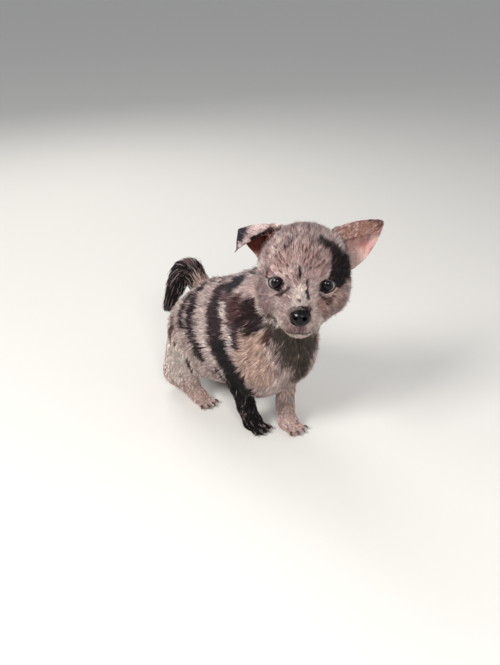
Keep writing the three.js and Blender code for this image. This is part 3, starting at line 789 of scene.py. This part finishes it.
def lie_of(points, normals, nodes):
    """The way the coat lies at each point, before it is laid along the skin."""
    lie = np.zeros_like(points)
    trunk, legs, skull = nodes == "torso", belongs(nodes, *LEGS), belongs(nodes, *SKULL)
    lie[trunk] = [0, 1, -0.4]
    breast = trunk & (-points[:, 1] > 42)
    lie[breast] = [0, 0.5, -0.8]
    lie[breast, 0] = 0.3 * np.sign(points[breast, 0])
    lie[trunk & (normals[:, 2] < -0.6)] = [0, 1, 0]
    lie[nodes == "neck"] = [0, 0.6, -0.8]
    lie[legs] = [0, 0.15, -1]
    lie[legs & (points[:, 2] < 12)] = [0, -0.9, -0.5]
    head = to_head(points)
    left, _, up = terms(head)
    lie[skull] = (unit(head - (NOSE_CENTRE + at(0, 2, 3))) @ HEAD_AXES.T)[skull]
    # On the cheeks it also hangs down
    cheek = fade(up, 2, -7) * fade(np.abs(left), 11, 19)
    lie[:, 2] -= 0.9 * skull * np.maximum(cheek, fade(up, -30, -33))
    for name, (low, high, _, tip, _) in EARS.items():
        lie[nodes == name] = unit(tip - (high + low) / 2) @ HEAD_AXES.T
    return lie


class Paint:
    """Colours of places on the coat. roll is from 0 to 1 and picks a hair's colour at a soft edge."""

    def __init__(self, colours, roll):
        self.colours = colours
        self.roll = roll

    def cover(self, colour, weight):
        self.colours = mix(self.colours, linear(colour), weight[:, None])

    def take(self, colour, weight, hardness=2.2):
        self.cover(colour, np.clip((weight - self.roll) * hardness + 0.5, 0, 1) * (weight > 0.01))

    def marks(self, marks, places, share):
        for colour, radius, softness, *path in marks:
            self.take(colour, stroke(places, path, radius, softness) * share)


def paint_body(paint, points, nodes, soft):
    left, fore, up = terms(points)
    body = ~belongs(nodes, *SKULL, "ear")
    paint.take(TAN, fade(up, 46, 26) * belongs(nodes, *LEGS) * 0.5)
    paint.take(PINK, fade(up, 14, 6) * 0.15)
    paint.marks(BODY_MARKS, points, body)
    back = fade(up, 92, 110) * fade(np.abs(left), 16, 6) * body
    paint.take(SLATE, back * (0.42 + 0.5 * ripple(points, 3.2, 5)), 1.6)
    dark_leg = (nodes == "foreleg_right") * fade(up, 58, 52)
    paint.take(BLACK, dark_leg * (0.94 + 0.2 * soft))
    paint.marks([(GREY, 1.5, 3, (-6, 33, 40), (-6, 33, 14))], points, dark_leg * 0.6)
    tail = nodes == "tail"
    paint.take(BLACK, tail * fade(fore, -50, -56) * 0.95)
    paint.marks([(MAUVE, 1.5, 4, (-3, -60, 114), (-6, -67, 114))], points, tail * 0.8)
    paint.take(RED_BROWN, tail * fade(ripple(points, 4, 8), 0.35, 0.75) * 0.12)


def paint_face(paint, head, skull):
    left, fore, up = terms(head)
    paint.marks(HEAD_MARKS, head, skull)
    paint.take(PALE, skull * fade(up, -31, -34) * 0.7)
    ticks = fade(ripple(head, 1.5, 41), 0.25, 0.75) * np.maximum(fade(up, 1, 10), 0.7 * fade(left, 9, 15))
    paint.take(BROWN, skull * ticks * 0.55)
    for side in (-1, 1):
        reach, out, height, ring = eye_terms(head, side)
        edge = mix(1.11, 1.30, smooth(height / 2))
        paint.cover(LID, fade(ring, edge, edge - 0.12) * (out > 0.5) * (reach < EYE_REACH))
    paint.cover(LID, skull * fade(lips_distance(head), 1.5, 1.1) * (fore > 21))
    paint.cover(DARK, skull * fade(nose_distance(head), 1.12, 1))


def paint_ears(paint, points, normals, nodes):
    head = to_head(points)
    left, _, up = terms(head)
    inner, flap = ear_sides(points, normals, nodes)
    behind = (1 - inner) * (1 - flap)
    # The folded ear
    own = nodes == "ear_right"
    bands = fade(ripple(head * [1, 1, 2.2], 6, 21), -0.1, 0.4)
    paint.take(GREY, own * flap * bands * 0.35)
    paint.marks(FLAP_MARKS, head, own * flap)
    paint.marks([(BLACK, 1.2, 1.8, (-25.5, -0.5, 21), (-17, 0.5, 24.5))], head, own)
    paint.take(SLATE, own * behind * 0.7)
    # Inside: its own red-brown with painted shade under the flap; lower down, out of that shade, it is pink
    paint.cover(INNER_BROWN_AND_SHADE, own * inner)
    paint.cover(PINK, own * inner * fade(up, 6, 0))
    # The open ear
    own = nodes == "ear_left"
    along, _ = ear_terms(head, "ear_left")
    bands = fade(ripple(head * [2.2, 1, 1], 5, 22), -0.2, 0.3)
    paint.take(EAR_BROWN, own * flap * (0.75 + 0.2 * bands), 1.4)
    rim = fade(along, 0.72, 0.92) + fade(up, 29.5, 31) * fade(along, 0.3, 0.5)
    paint.take(BROWN, own * flap * np.clip(rim, 0, 1) * 0.6, 1.4)
    paint.take(SLATE, own * behind * 0.8)
    # Inside: painted shade in the folds shows between the pink
    paint.cover(CREASE_SHADE_PINK, own * inner)
    paint.cover(PINK, own * inner * smooth(0.7 + 0.9 * ripple(head * [1.2, 1, 0.5], 3.6, 23)))
    # Low inside it is paler, partly its own pale skin and partly painted light; near the crest a painted
    # highlight
    low = fade(up, 12, 3) * fade(left, 46, 40)
    painted_highlight = stroke(head, [(35, -5, 15), (43, -5, 20)], 1.5, 5.0)
    paint.cover(EAR_PALE_AND_LIGHT, own * inner * np.maximum(low, painted_highlight) * 0.95)


def coat_colours(points, normals, nodes, roll):
    """The coat's colour at each place, as linear light."""
    skull = belongs(nodes, *SKULL)
    paint = Paint(np.where(skull[:, None], linear(FACE_CREAM), linear(CREAM)), roll)
    soft = ripple(points, 9, 3) * 0.5 + ripple(points, 3.2, 4) * 0.5
    paint.take(GREY, 0.45 + 0.4 * soft, 1.2)
    paint.take(PALE, 0.35 - 0.4 * soft, 1.2)
    paint_body(paint, points, nodes, soft)
    paint_face(paint, to_head(points), skull)
    paint_ears(paint, points, normals, nodes)
    return paint.colours


def tuft_mesh(name, paths, radii, up, colours, roots_uv):
    """Closed tapering tufts. paths are the middles of each tuft's rings and then its tip, in mm."""
    rings = radii.shape[1]
    ahead = unit(np.diff(paths, axis=1))
    side = unit(np.cross(ahead, up[:, None]))
    angles = np.array([math.pi / 2, math.pi * 7 / 6, math.pi * 11 / 6])
    points = rings_round(paths[:, :rings], side, np.cross(side, ahead) * FLATNESS, radii, angles)
    points = np.concatenate([points.reshape(len(paths), -1, 3), paths[:, rings:]], axis=1)
    faces = np.array([(0, 1, 2)] + wall(rings, 3) + fan(rings - 1, 3, rings * 3))
    points, faces = copies(points, faces)
    mesh = new_mesh(name, points, faces)
    # Painted shade towards each tuft's root and painted light at its tip
    shares = np.append(np.repeat(np.linspace(0, 1, rings, endpoint=False), 3), 1.0)
    shade = mix(ROOT_SHADE, TIP_SHADE, shares)[:, None]
    set_colours(mesh, np.clip(colours[:, None] * shade, 0, 1).reshape(-1, 3))
    # Each tuft is a small patch on the unwrap, its base round the tip
    around = np.append(np.tile(angles, rings), 0)
    spread = (1 - shares)[:, None] * PATCH * np.column_stack([np.cos(around), np.sin(around)])
    patch = (roots_uv[:, None] + spread).reshape(-1, 2)
    unwrap = mesh.uv_layers.new(name="OFBake")
    unwrap.data.foreach_set("uv", patch[faces.ravel()].astype(np.float32).ravel())
    return mesh


def unwrap_of(points, triangles):
    """An unwrap of a part of the skin's own shape, as a function from places to the unit square."""
    ratio = min(PATCH_TRIANGLES / len(triangles), 1)
    light = modified("patch", points, triangles, "DECIMATE", ratio=ratio)
    holder = new_object("unwrap", light)
    bpy.ops.object.select_all(action="DESELECT")
    bpy.context.view_layer.objects.active = holder
    holder.select_set(True)
    bpy.ops.object.mode_set(mode="EDIT")
    bpy.ops.mesh.select_all(action="SELECT")
    bpy.ops.uv.smart_project(angle_limit=math.radians(70), island_margin=0.01)
    bpy.ops.object.mode_set(mode="OBJECT")
    places, faces = arrays_of(light)
    uv = np.empty(len(light.loops) * 2)
    light.uv_layers.active.data.foreach_get("uv", uv)
    uv = uv.reshape(-1, 3, 2)
    bpy.data.objects.remove(holder)
    tree = BVHTree.FromPolygons(places.tolist(), faces.tolist())

    def square(roots):
        found = [tree.find_nearest(root) for root in roots.tolist()]
        index = np.array([hit[2] for hit in found])
        spots = np.array([hit[0] for hit in found])
        a, b, c = (places[faces[index, k]] for k in range(3))
        whole = np.maximum(norm(np.cross(b - a, c - a)), 1e-9)
        share_b = norm(np.cross(spots - a, c - a)) / whole
        share_c = norm(np.cross(b - a, spots - a)) / whole
        shares = np.column_stack([1 - share_b - share_c, share_b, share_c])
        return (uv[index] * shares[:, :, None]).sum(axis=1) * 0.98 + 0.01

    return square


skin_points, skin_triangles, skin_nodes, skin_depth, skin_net = make_skin()
skin_normals = normals_of(skin_points, skin_triangles)
skin_lie = skin_net.smoothed(lie_of(skin_points, skin_normals, skin_nodes), 10)
skin_tree = BVHTree.FromPolygons(skin_points.tolist(), skin_triangles.tolist())
soft_normals = unit(skin_net.smoothed(skin_normals, 6))
skin_inner, _ = ear_sides(skin_points, skin_normals, skin_nodes)


def on_skin(places):
    """The nearest spot on the skin to each place, its triangle's corners and its soft normal."""
    found = [skin_tree.find_nearest(place) for place in places.tolist()]
    corners = skin_triangles[[hit[2] for hit in found]]
    return np.array([hit[0] for hit in found]), corners, unit(soft_normals[corners].mean(axis=1))


def laid(directions, normals):
    return unit(directions - (directions * normals).sum(axis=1, keepdims=True) * normals)


def nearest_of(points, choices):
    """Which of the choices is nearest to each point."""
    tree = KDTree(len(choices))
    for index, choice in enumerate(choices.tolist()):
        tree.insert(choice, index)
    tree.balance()
    return np.array([tree.find(point)[1] for point in points.tolist()])


def fluff(head):
    """1 where longer fur stands out: low on the muzzle's sides, on the chin and round the skull."""
    left, fore, _ = terms(head)
    either_side = np.column_stack([np.abs(left), head[:, 1:]])
    low = hump(norm(either_side - at(15, 30, -26)), 6)
    chin = hump(norm(head - at(0, 42, -35)), 8)
    round_skull = fade(np.abs(left), 19, 24) * fade(fore, 21, 15)
    return np.maximum(np.maximum(low, chin), 0.6 * round_skull)


def runs_of(points, nodes, depth):
    """How far a tuft runs along the skin, and how thick it is."""
    head = to_head(points)
    _, fore, up = terms(head)
    skull = belongs(nodes, *SKULL)
    run = mix(3.0, 9.0, smooth(depth / 3.2))
    on_head = mix(6.0, 2.2, fade(fore, 22, 36)) + 4.0 * fluff(head)
    by_eyes = mix(1.6, 6.0, fade(eye_distance(head), 7, 11.5))
    by_lips = mix(1.2, 5.0, fade(lips_distance(head), 1, 5)) + 2.0 * fade(up, -31, -33)
    run[skull] = np.minimum(np.minimum(on_head, by_eyes), by_lips)[skull]
    run[belongs(nodes, "ear")] = EAR_RUN
    width = mix(0.14, 0.24, fade(run, 1.5, 7.5)) * np.where(skull, SKULL_WIDTH, 1)
    return run, width


def weights_of(nodes, centres):
    """How densely triangles of the skin are covered, against the rest of their region."""
    head = to_head(centres)
    _, fore, up = terms(head)
    weight = mix(1.0, 1.7, fade(fore, 18, 32) * belongs(nodes, *SKULL))
    for side in (-1, 1):
        reach, out, _, ring = eye_terms(head, side)
        weight[(ring < 1.2) & (out > 0) & (reach < EYE_REACH)] = 0
    line = np.interp(fore, *LIPS[::-1].T)
    strip = np.where(up > line, BARE_ABOVE, BARE_BELOW)
    weight[(lips_distance(head) < strip) & (fore > 20)] = 0
    weight[nose_distance(head) < 1.02] = 0
    return weight


triangle_nodes = skin_nodes[skin_triangles[:, 0]]
triangle_regions = np.array([REGIONS.get(name, name) for name in triangle_nodes.tolist()])
corner_a, corner_b, corner_c = (skin_points[skin_triangles[:, k]] for k in range(3))
triangle_areas = 0.5 * norm(np.cross(corner_b - corner_a, corner_c - corner_a))
triangle_weights = weights_of(triangle_nodes, skin_points[skin_triangles].mean(axis=1))
triangle_weights *= 1 - 0.8 * skin_inner[skin_triangles].mean(axis=1)


def scattered(region, count):
    """Roots of tufts, spread evenly over a region of the skin, and the corners of each one's triangle."""
    own = np.flatnonzero(triangle_regions == region)
    running = np.cumsum((triangle_areas * triangle_weights)[own])
    picks = (np.arange(count) + chance.uniform(0, 1, count)) / count * running[-1]
    corners = skin_triangles[own[np.minimum(np.searchsorted(running, picks), len(own) - 1)]]
    u, v = chance.uniform(0, 1, (2, count))
    flip = u + v > 1
    u[flip], v[flip] = 1 - u[flip], 1 - v[flip]
    a, b, c = (skin_points[corners[:, k]] for k in range(3))
    return a + (b - a) * u[:, None] + (c - a) * v[:, None], corners


def skin_tufts(region, count):
    """Paths, thicknesses, directions outwards, colours and roots of tufts that lie along the skin."""
    roots, corners = scattered(region, count)
    nodes = skin_nodes[corners[:, 0]]
    normals = unit(soft_normals[corners].mean(axis=1))
    depth = skin_depth[corners].mean(axis=1)
    run, width = runs_of(roots, nodes, depth)
    guard = chance.uniform(0, 1, count) < GUARD_SHARE
    run = run * chance.uniform(*RUN_SPREAD, count) * np.where(guard, GUARD_LENGTH, 1)
    leaders = np.arange(0, count, CLUMP)
    leader = leaders[nearest_of(roots, roots[leaders])]
    skull = belongs(nodes, *SKULL)
    loose = np.where(skull, SKULL_LOOSE, 1)[:, None]
    sway = np.column_stack([ripple(roots, 7, seed) for seed in (31, 32, 33)]) * SWAY * loose
    jitter = chance.normal(size=(count, 3)) * JITTER
    first = laid(laid(skin_lie[corners].mean(axis=1), normals) + sway + jitter, normals)
    middle, middle_corners, middle_normals = on_skin(roots + first * (run * MIDWAY)[:, None])
    onwards = laid(skin_lie[middle_corners].mean(axis=1), middle_normals)
    second = laid(onwards + first + sway + jitter * 0.5, middle_normals)
    ahead = middle + second * (run * (1 - MIDWAY))[:, None]
    tips, _, tip_normals = on_skin(ahead)
    # Longer fur doesn't follow the skin round to its tip
    bushy = fluff(to_head(roots)) * skull
    tips = mix(tips, ahead, (0.8 * bushy)[:, None])
    rise = depth * chance.uniform(*RISE_SPREAD, count) + chance.uniform(*STRAY_SPREAD, count)
    lift = np.where(chance.uniform(0, 1, count) < 0.2 + 0.3 * bushy, chance.uniform(1.0, 2.0, count), 1)
    lift += bushy * chance.uniform(0, 1.0, count)
    raised = middle + middle_normals * (rise * 0.66)[:, None]
    paths = np.stack([roots - normals * 0.15, raised, tips + tip_normals * (rise * lift)[:, None]], axis=1)
    # Each tuft leans towards the leader of its clump
    for point, lean in enumerate(LEANS, 1):
        paths[:, point] = mix(paths[:, point], paths[leader, point], lean * loose)
    paths[:, :, 2] = np.maximum(paths[:, :, 2], LOWEST)
    radii = np.column_stack([width * 0.8, width]) * chance.uniform(*WIDTH_SPREAD, count)[:, None]
    # The colour is that of the place where the tuft shows, near its middle
    shown = middle + middle_normals * depth[:, None]
    roll = chance.uniform(0, 1, count)
    colours = coat_colours(shown, middle_normals, nodes, mix(roll, roll[leader], 0.6))
    tone = np.exp(chance.uniform(*TONE_SPREAD, count))
    tone = np.where(guard, tone**1.5, mix(tone, tone[leader], 0.75))
    if region == "ears":
        tone = mix(tone, 1, 0.5)
    colours = colours * (tone * (1 + 0.1 * ripple(roots, 4, 51)))[:, None]
    return paths, radii, normals, colours, roots


def tail_tufts(count):
    """The same for the tail's long tufts."""
    steps = 200
    points, directions, side, up = spine_frames(TAIL_SPINE, steps)
    length = norm(np.diff(points, axis=0)).sum()
    share = chance.uniform(0.05, 1.0, count)
    angle = chance.uniform(0, 2 * math.pi, count)
    run = np.minimum(chance.uniform(10, 17, count), (1 - share) * length + chance.uniform(1.5, 4, count))
    fullness = chance.uniform(0.35, 1.0, count) ** 0.6 * (1 - mix(0.5, 0.2, share) * np.sin(angle))

    def place(shares, out):
        index = np.clip((shares * (steps - 1)).astype(int), 0, steps - 1)
        beyond = np.maximum(shares - 1, 0) * length
        turned = np.cos(angle)[:, None] * side[index] + np.sin(angle)[:, None] * up[index]
        return points[index] + directions[index] * beyond[:, None] + turned * out[:, None], turned

    core = mix(*TAIL_CORE, share)
    root, outwards = place(share, core * 0.9)
    paths = [root]
    for part, rise, _ in TAIL_TUFT:
        there = share + run * part / length
        reach = np.interp(there, *TAIL_REACH) * fullness
        paths.append(place(there, core + np.maximum(reach - core, 0) * rise)[0])
    paths = np.stack(paths, axis=1) + chance.normal(size=(count, 1, 3)) * 0.2
    loose = np.array([looseness for _, _, looseness in TAIL_TUFT])
    paths[:, 1:] += chance.normal(size=(count, 1, 3)) * loose[:, None] * 0.6
    radii = np.tile(TAIL_RADII, (count, 1))
    colours = coat_colours(paths[:, 3], outwards, np.full(count, "tail"), chance.uniform(0, 1, count))
    colours = colours * chance.uniform(*TAIL_TONES, count)[:, None]
    return paths, radii, outwards, colours, root


# Materials


class Shader:
    """A material's node tree, with short ways to add and join nodes."""

    def __init__(self, name):
        self.material = bpy.data.materials.new(name)
        self.material.use_nodes = True
        self.link = self.material.node_tree.links.new
        self.surface = self.material.node_tree.nodes["Principled BSDF"]

    def add(self, kind, **settings):
        node = self.material.node_tree.nodes.new(kind)
        for key, value in settings.items():
            setattr(node, key, value)
        return node

    def set(self, node, **values):
        for key, value in values.items():
            node.inputs[key.replace("_", " ")].default_value = value

    def noise(self, scale, detail=2.0):
        place = self.add("ShaderNodeTexCoord")
        noise = self.add("ShaderNodeTexNoise")
        self.set(noise, Scale=scale, Detail=detail)
        self.link(place.outputs["Object"], noise.inputs["Vector"])
        return noise.outputs["Fac"]

    def bump(self, height, strength, distance):
        bump = self.add("ShaderNodeBump")
        self.set(bump, Strength=strength, Distance=distance)
        self.link(height, bump.inputs["Height"])
        self.link(bump.outputs["Normal"], self.surface.inputs["Normal"])


def coat_material(name, darkness, roughness):
    shader = Shader(name)
    colour = shader.add("ShaderNodeAttribute", attribute_name="coat_colour")
    grain = shader.noise(900.0, 1.0)
    depth = shader.add("ShaderNodeMapRange")
    shader.set(depth, To_Min=darkness * 0.8, To_Max=darkness * 1.2)
    shader.link(grain, depth.inputs["Value"])
    shade = shader.add("ShaderNodeMix", data_type="RGBA", blend_type="MULTIPLY")
    shade.inputs["Factor"].default_value = 1.0
    shader.link(colour.outputs["Color"], shade.inputs[6])
    shader.link(depth.outputs["Result"], shade.inputs[7])
    shader.link(shade.outputs[2], shader.surface.inputs["Base Color"])
    shader.set(shader.surface, Roughness=roughness, Sheen_Weight=0.02, Sheen_Roughness=0.5)
    shader.set(shader.surface, Specular_IOR_Level=0.12)
    return shader


def eye_material():
    """Pupil, iris and white, by how far a point is from the middle of the gaze."""
    shader = Shader("eye")
    away = shader.add("ShaderNodeAttribute", attribute_name="gaze")
    ramp = shader.add("ShaderNodeValToRGB")
    for index, (position, colour) in enumerate(EYE_COLOURS):
        element = ramp.color_ramp.elements[index] if index < 2 else ramp.color_ramp.elements.new(position)
        element.position = position
        element.color = (*linear(colour), 1)
    shader.link(away.outputs["Fac"], ramp.inputs["Fac"])
    shader.link(ramp.outputs["Color"], shader.surface.inputs["Base Color"])
    shader.set(shader.surface, Roughness=0.2, Coat_Weight=0.3, Coat_Roughness=0.03, Specular_IOR_Level=0.08)
    return shader.material


def plain_material(name, colour, roughness, bump=None, gloss=0.5):
    shader = Shader(name)
    shader.set(shader.surface, Base_Color=(*linear(colour), 1), Roughness=roughness, Specular_IOR_Level=gloss)
    if bump:
        scale, strength, distance = bump
        shader.bump(shader.noise(scale), strength, distance)
    return shader.material


coat = coat_material("coat", darkness=1.0, roughness=0.62).material
# The skin has the coat's colours at half brightness: painted shade where it shows deep between the tufts
skin_shader = coat_material("skin", darkness=0.5, roughness=0.7)
skin_shader.bump(skin_shader.noise(1400.0, 3.0), 0.5, 0.0004)

# The skin and the coat
skin_mesh = new_mesh("skin", skin_points, skin_triangles)
over_skin = skin_points + skin_normals * skin_depth[:, None]
skin_colours = coat_colours(over_skin, skin_normals, skin_nodes, np.full(len(skin_points), 0.5))
set_colours(skin_mesh, skin_colours)
piece_of(skin_mesh, skin_shader.material, [*FLESH, "tail"])

for region, (count, slot) in TUFTS.items():
    tufts = tail_tufts(count) if region == "tail" else skin_tufts(region, count)
    own = skin_triangles[triangle_regions == region]
    used, renumbered = np.unique(own, return_inverse=True)
    roots_uv = unwrap_of(skin_points[used], renumbered.reshape(-1, 3))(tufts[-1])
    parts = math.ceil(count / MOST_TUFTS)
    for part in range(parts):
        dealt = slice(part, None, parts)
        name = f"coat_{region}_{part + 1}" if parts > 1 else f"coat_{region}"
        paths, radii, outwards, colours, _ = (values[dealt] for values in tufts)
        piece_of(tuft_mesh(name, paths, radii, outwards, colours, roots_uv[dealt]), coat)

# Eyes
eye_look = eye_material()
rim_look = plain_material("lid rim", RIM_COLOUR, 0.35)


def eyeball(side):
    """A ball with a raised cornea, and how far each point is from the middle of the gaze."""
    ball = bpy.data.meshes.new("ball")
    edited(ball, lambda shape: bmesh.ops.create_uvsphere(shape, u_segments=72, v_segments=48, radius=1.0))
    points, faces = emptied(ball)
    gaze = unit(GAZES[side])
    turn = np.array(Vector((0, 0, 1)).rotation_difference(Vector(gaze)).to_matrix())
    directions = unit(points + MIDDLE) @ turn.T
    distance = EYE_RADIUS * np.arccos(np.clip(directions @ gaze, -1, 1))
    radius = EYE_RADIUS - 0.15 + CORNEA_RISE * fade(distance, 4.7, 1.5)
    return from_head(eye_centre(side) + directions * radius[:, None]), faces, distance


def lid_rim(side):
    """A closed tube round the opening between the lids. Its last ring is joined to its first."""
    around, section = 96, 10
    across, out = eye_axes(side)
    angles = turns(around)
    reach = opening_reach(angles, side) * 1.05
    wide, high = np.cos(angles) * reach, np.sin(angles) * reach
    forward = np.sqrt(np.maximum((EYE_RADIUS + 0.42) ** 2 - wide**2 - high**2, 0))
    middle = wide[:, None] * across + high[:, None] * np.array([0, 0, 1]) + forward[:, None] * out
    ahead = unit(np.roll(middle, -1, axis=0) - np.roll(middle, 1, axis=0))
    away = unit(middle)
    rings = rings_round(middle, away, np.cross(away, ahead) * RIM_WIDENING, RIM_THICKNESS, turns(section))
    faces = np.array(wall(around + 1, section)) % (around * section)
    return from_head(eye_centre(side) + rings.reshape(-1, 3)), faces


for side, name in ((1, "left"), (-1, "right")):
    points, faces, distance = eyeball(side)
    mesh = new_mesh(f"eyeball_{name}", points, faces)
    layer = mesh.attributes.new("gaze", "FLOAT", "POINT")
    layer.data.foreach_set("value", (distance / GAZE_SPAN).astype(np.float32))
    piece_of(mesh, eye_look, [f"eye_{name}"])
    piece_of(new_mesh(f"lid_rim_{name}", *lid_rim(side)), rim_look)

# Nose
nose_points, nose_triangles = remeshed(*node_arrays("nose"), NOSE_VOXEL)
nose_points = evened(nose_points, Net(nose_triangles, len(nose_points)), NOSE_ROUNDS, 1.0)
nose_points = mix(nose_points.mean(axis=0), nose_points, NOSE_SHRINK) + HEAD_AXES @ NOSE_SHIFT
nose_look = plain_material("nose", NOSE_COLOUR, 0.22, bump=(1500.0, 0.2, 0.0002), gloss=0.22)
piece_of(new_mesh("nose_pad", nose_points, nose_triangles), nose_look, ["nose"])

# Claws and whiskers
claw_paths = []
for left, fore in PAWS:
    for toe in range(4):
        swing = (toe - 1.5) * TOE_SWING
        ahead = at(-math.sin(swing), math.cos(swing), 0)
        reach = 6.6 - 1.6 * abs(swing)
        place = at(left - math.sin(swing) * 8.2, fore + 3.4 + reach * math.cos(swing), 3)
        start = place + ahead * 3.4 + at(0, 0, 1.2)
        claw_paths.append([start + ahead * further + at(0, 0, rise) for further, rise in CLAW_CURVE])
piece_of(thin_tubes("claws", claw_paths, CLAW_RADII), plain_material("claw", CLAW_COLOUR, 0.35))

whisker_paths = []
for side in (-1, 1):
    for row in range(3):
        for k in range(4):
            root = at(side * (6.5 + 0.9 * k), 39 - 3.2 * k, -23.5 - 2.3 * row)
            away = unit(at(side, 0.1 - 0.28 * k, 0.15 - 0.2 * row))
            length = 9.5 + chance.uniform(-2, 2.5)
            path = [root + away * length * part + at(0, -1.4, -2) * part**2 for part in (-0.05, 0.35, 0.7, 1)]
            whisker_paths.append(from_head(np.array(path)))
whisker_look = plain_material("whisker", WHISKER_COLOUR, 0.4)
piece_of(thin_tubes("whiskers", whisker_paths, WHISKER_RADII), whisker_look)

# Floor, light and camera
floor_mesh = bpy.data.meshes.new("floor")
edited(floor_mesh, lambda shape: bmesh.ops.create_circle(shape, cap_ends=True, segments=96, radius=12.0))
floor_mesh.materials.append(plain_material("floor", FLOOR_COLOUR, 0.85))
floor = new_object("floor", floor_mesh)

world = bpy.data.worlds.new("studio")
world.use_nodes = True
sky = world.node_tree.nodes["Background"].inputs
sky["Color"].default_value = (*SKY, 1)
sky["Strength"].default_value = SKY_STRENGTH
bpy.context.scene.world = world


def aimed(thing, place, direction):
    thing.location = place
    thing.rotation_euler = Vector(direction).to_track_quat("-Z", "Y").to_euler()


for name, (place, target_height, size, power, colour) in LAMPS.items():
    lamp = bpy.data.lights.new(name, "AREA")
    lamp.size = size
    lamp.energy = power
    lamp.color = colour
    aimed(new_object(name, lamp), place, Vector((0, 0, target_height)) - Vector(place))

lens = bpy.data.cameras.new("camera")
lens.sensor_width = 36
lens.lens = FOCAL_LENGTH
camera = new_object("camera", lens)
aimed(camera, (CAMERA_PLACE + MIDDLE) * MM, CAMERA_LOOKS)
bpy.context.scene.camera = camera
bpy.context.scene.view_settings.view_transform = "Standard"

bpy.ops.object.select_all(action="DESELECT")
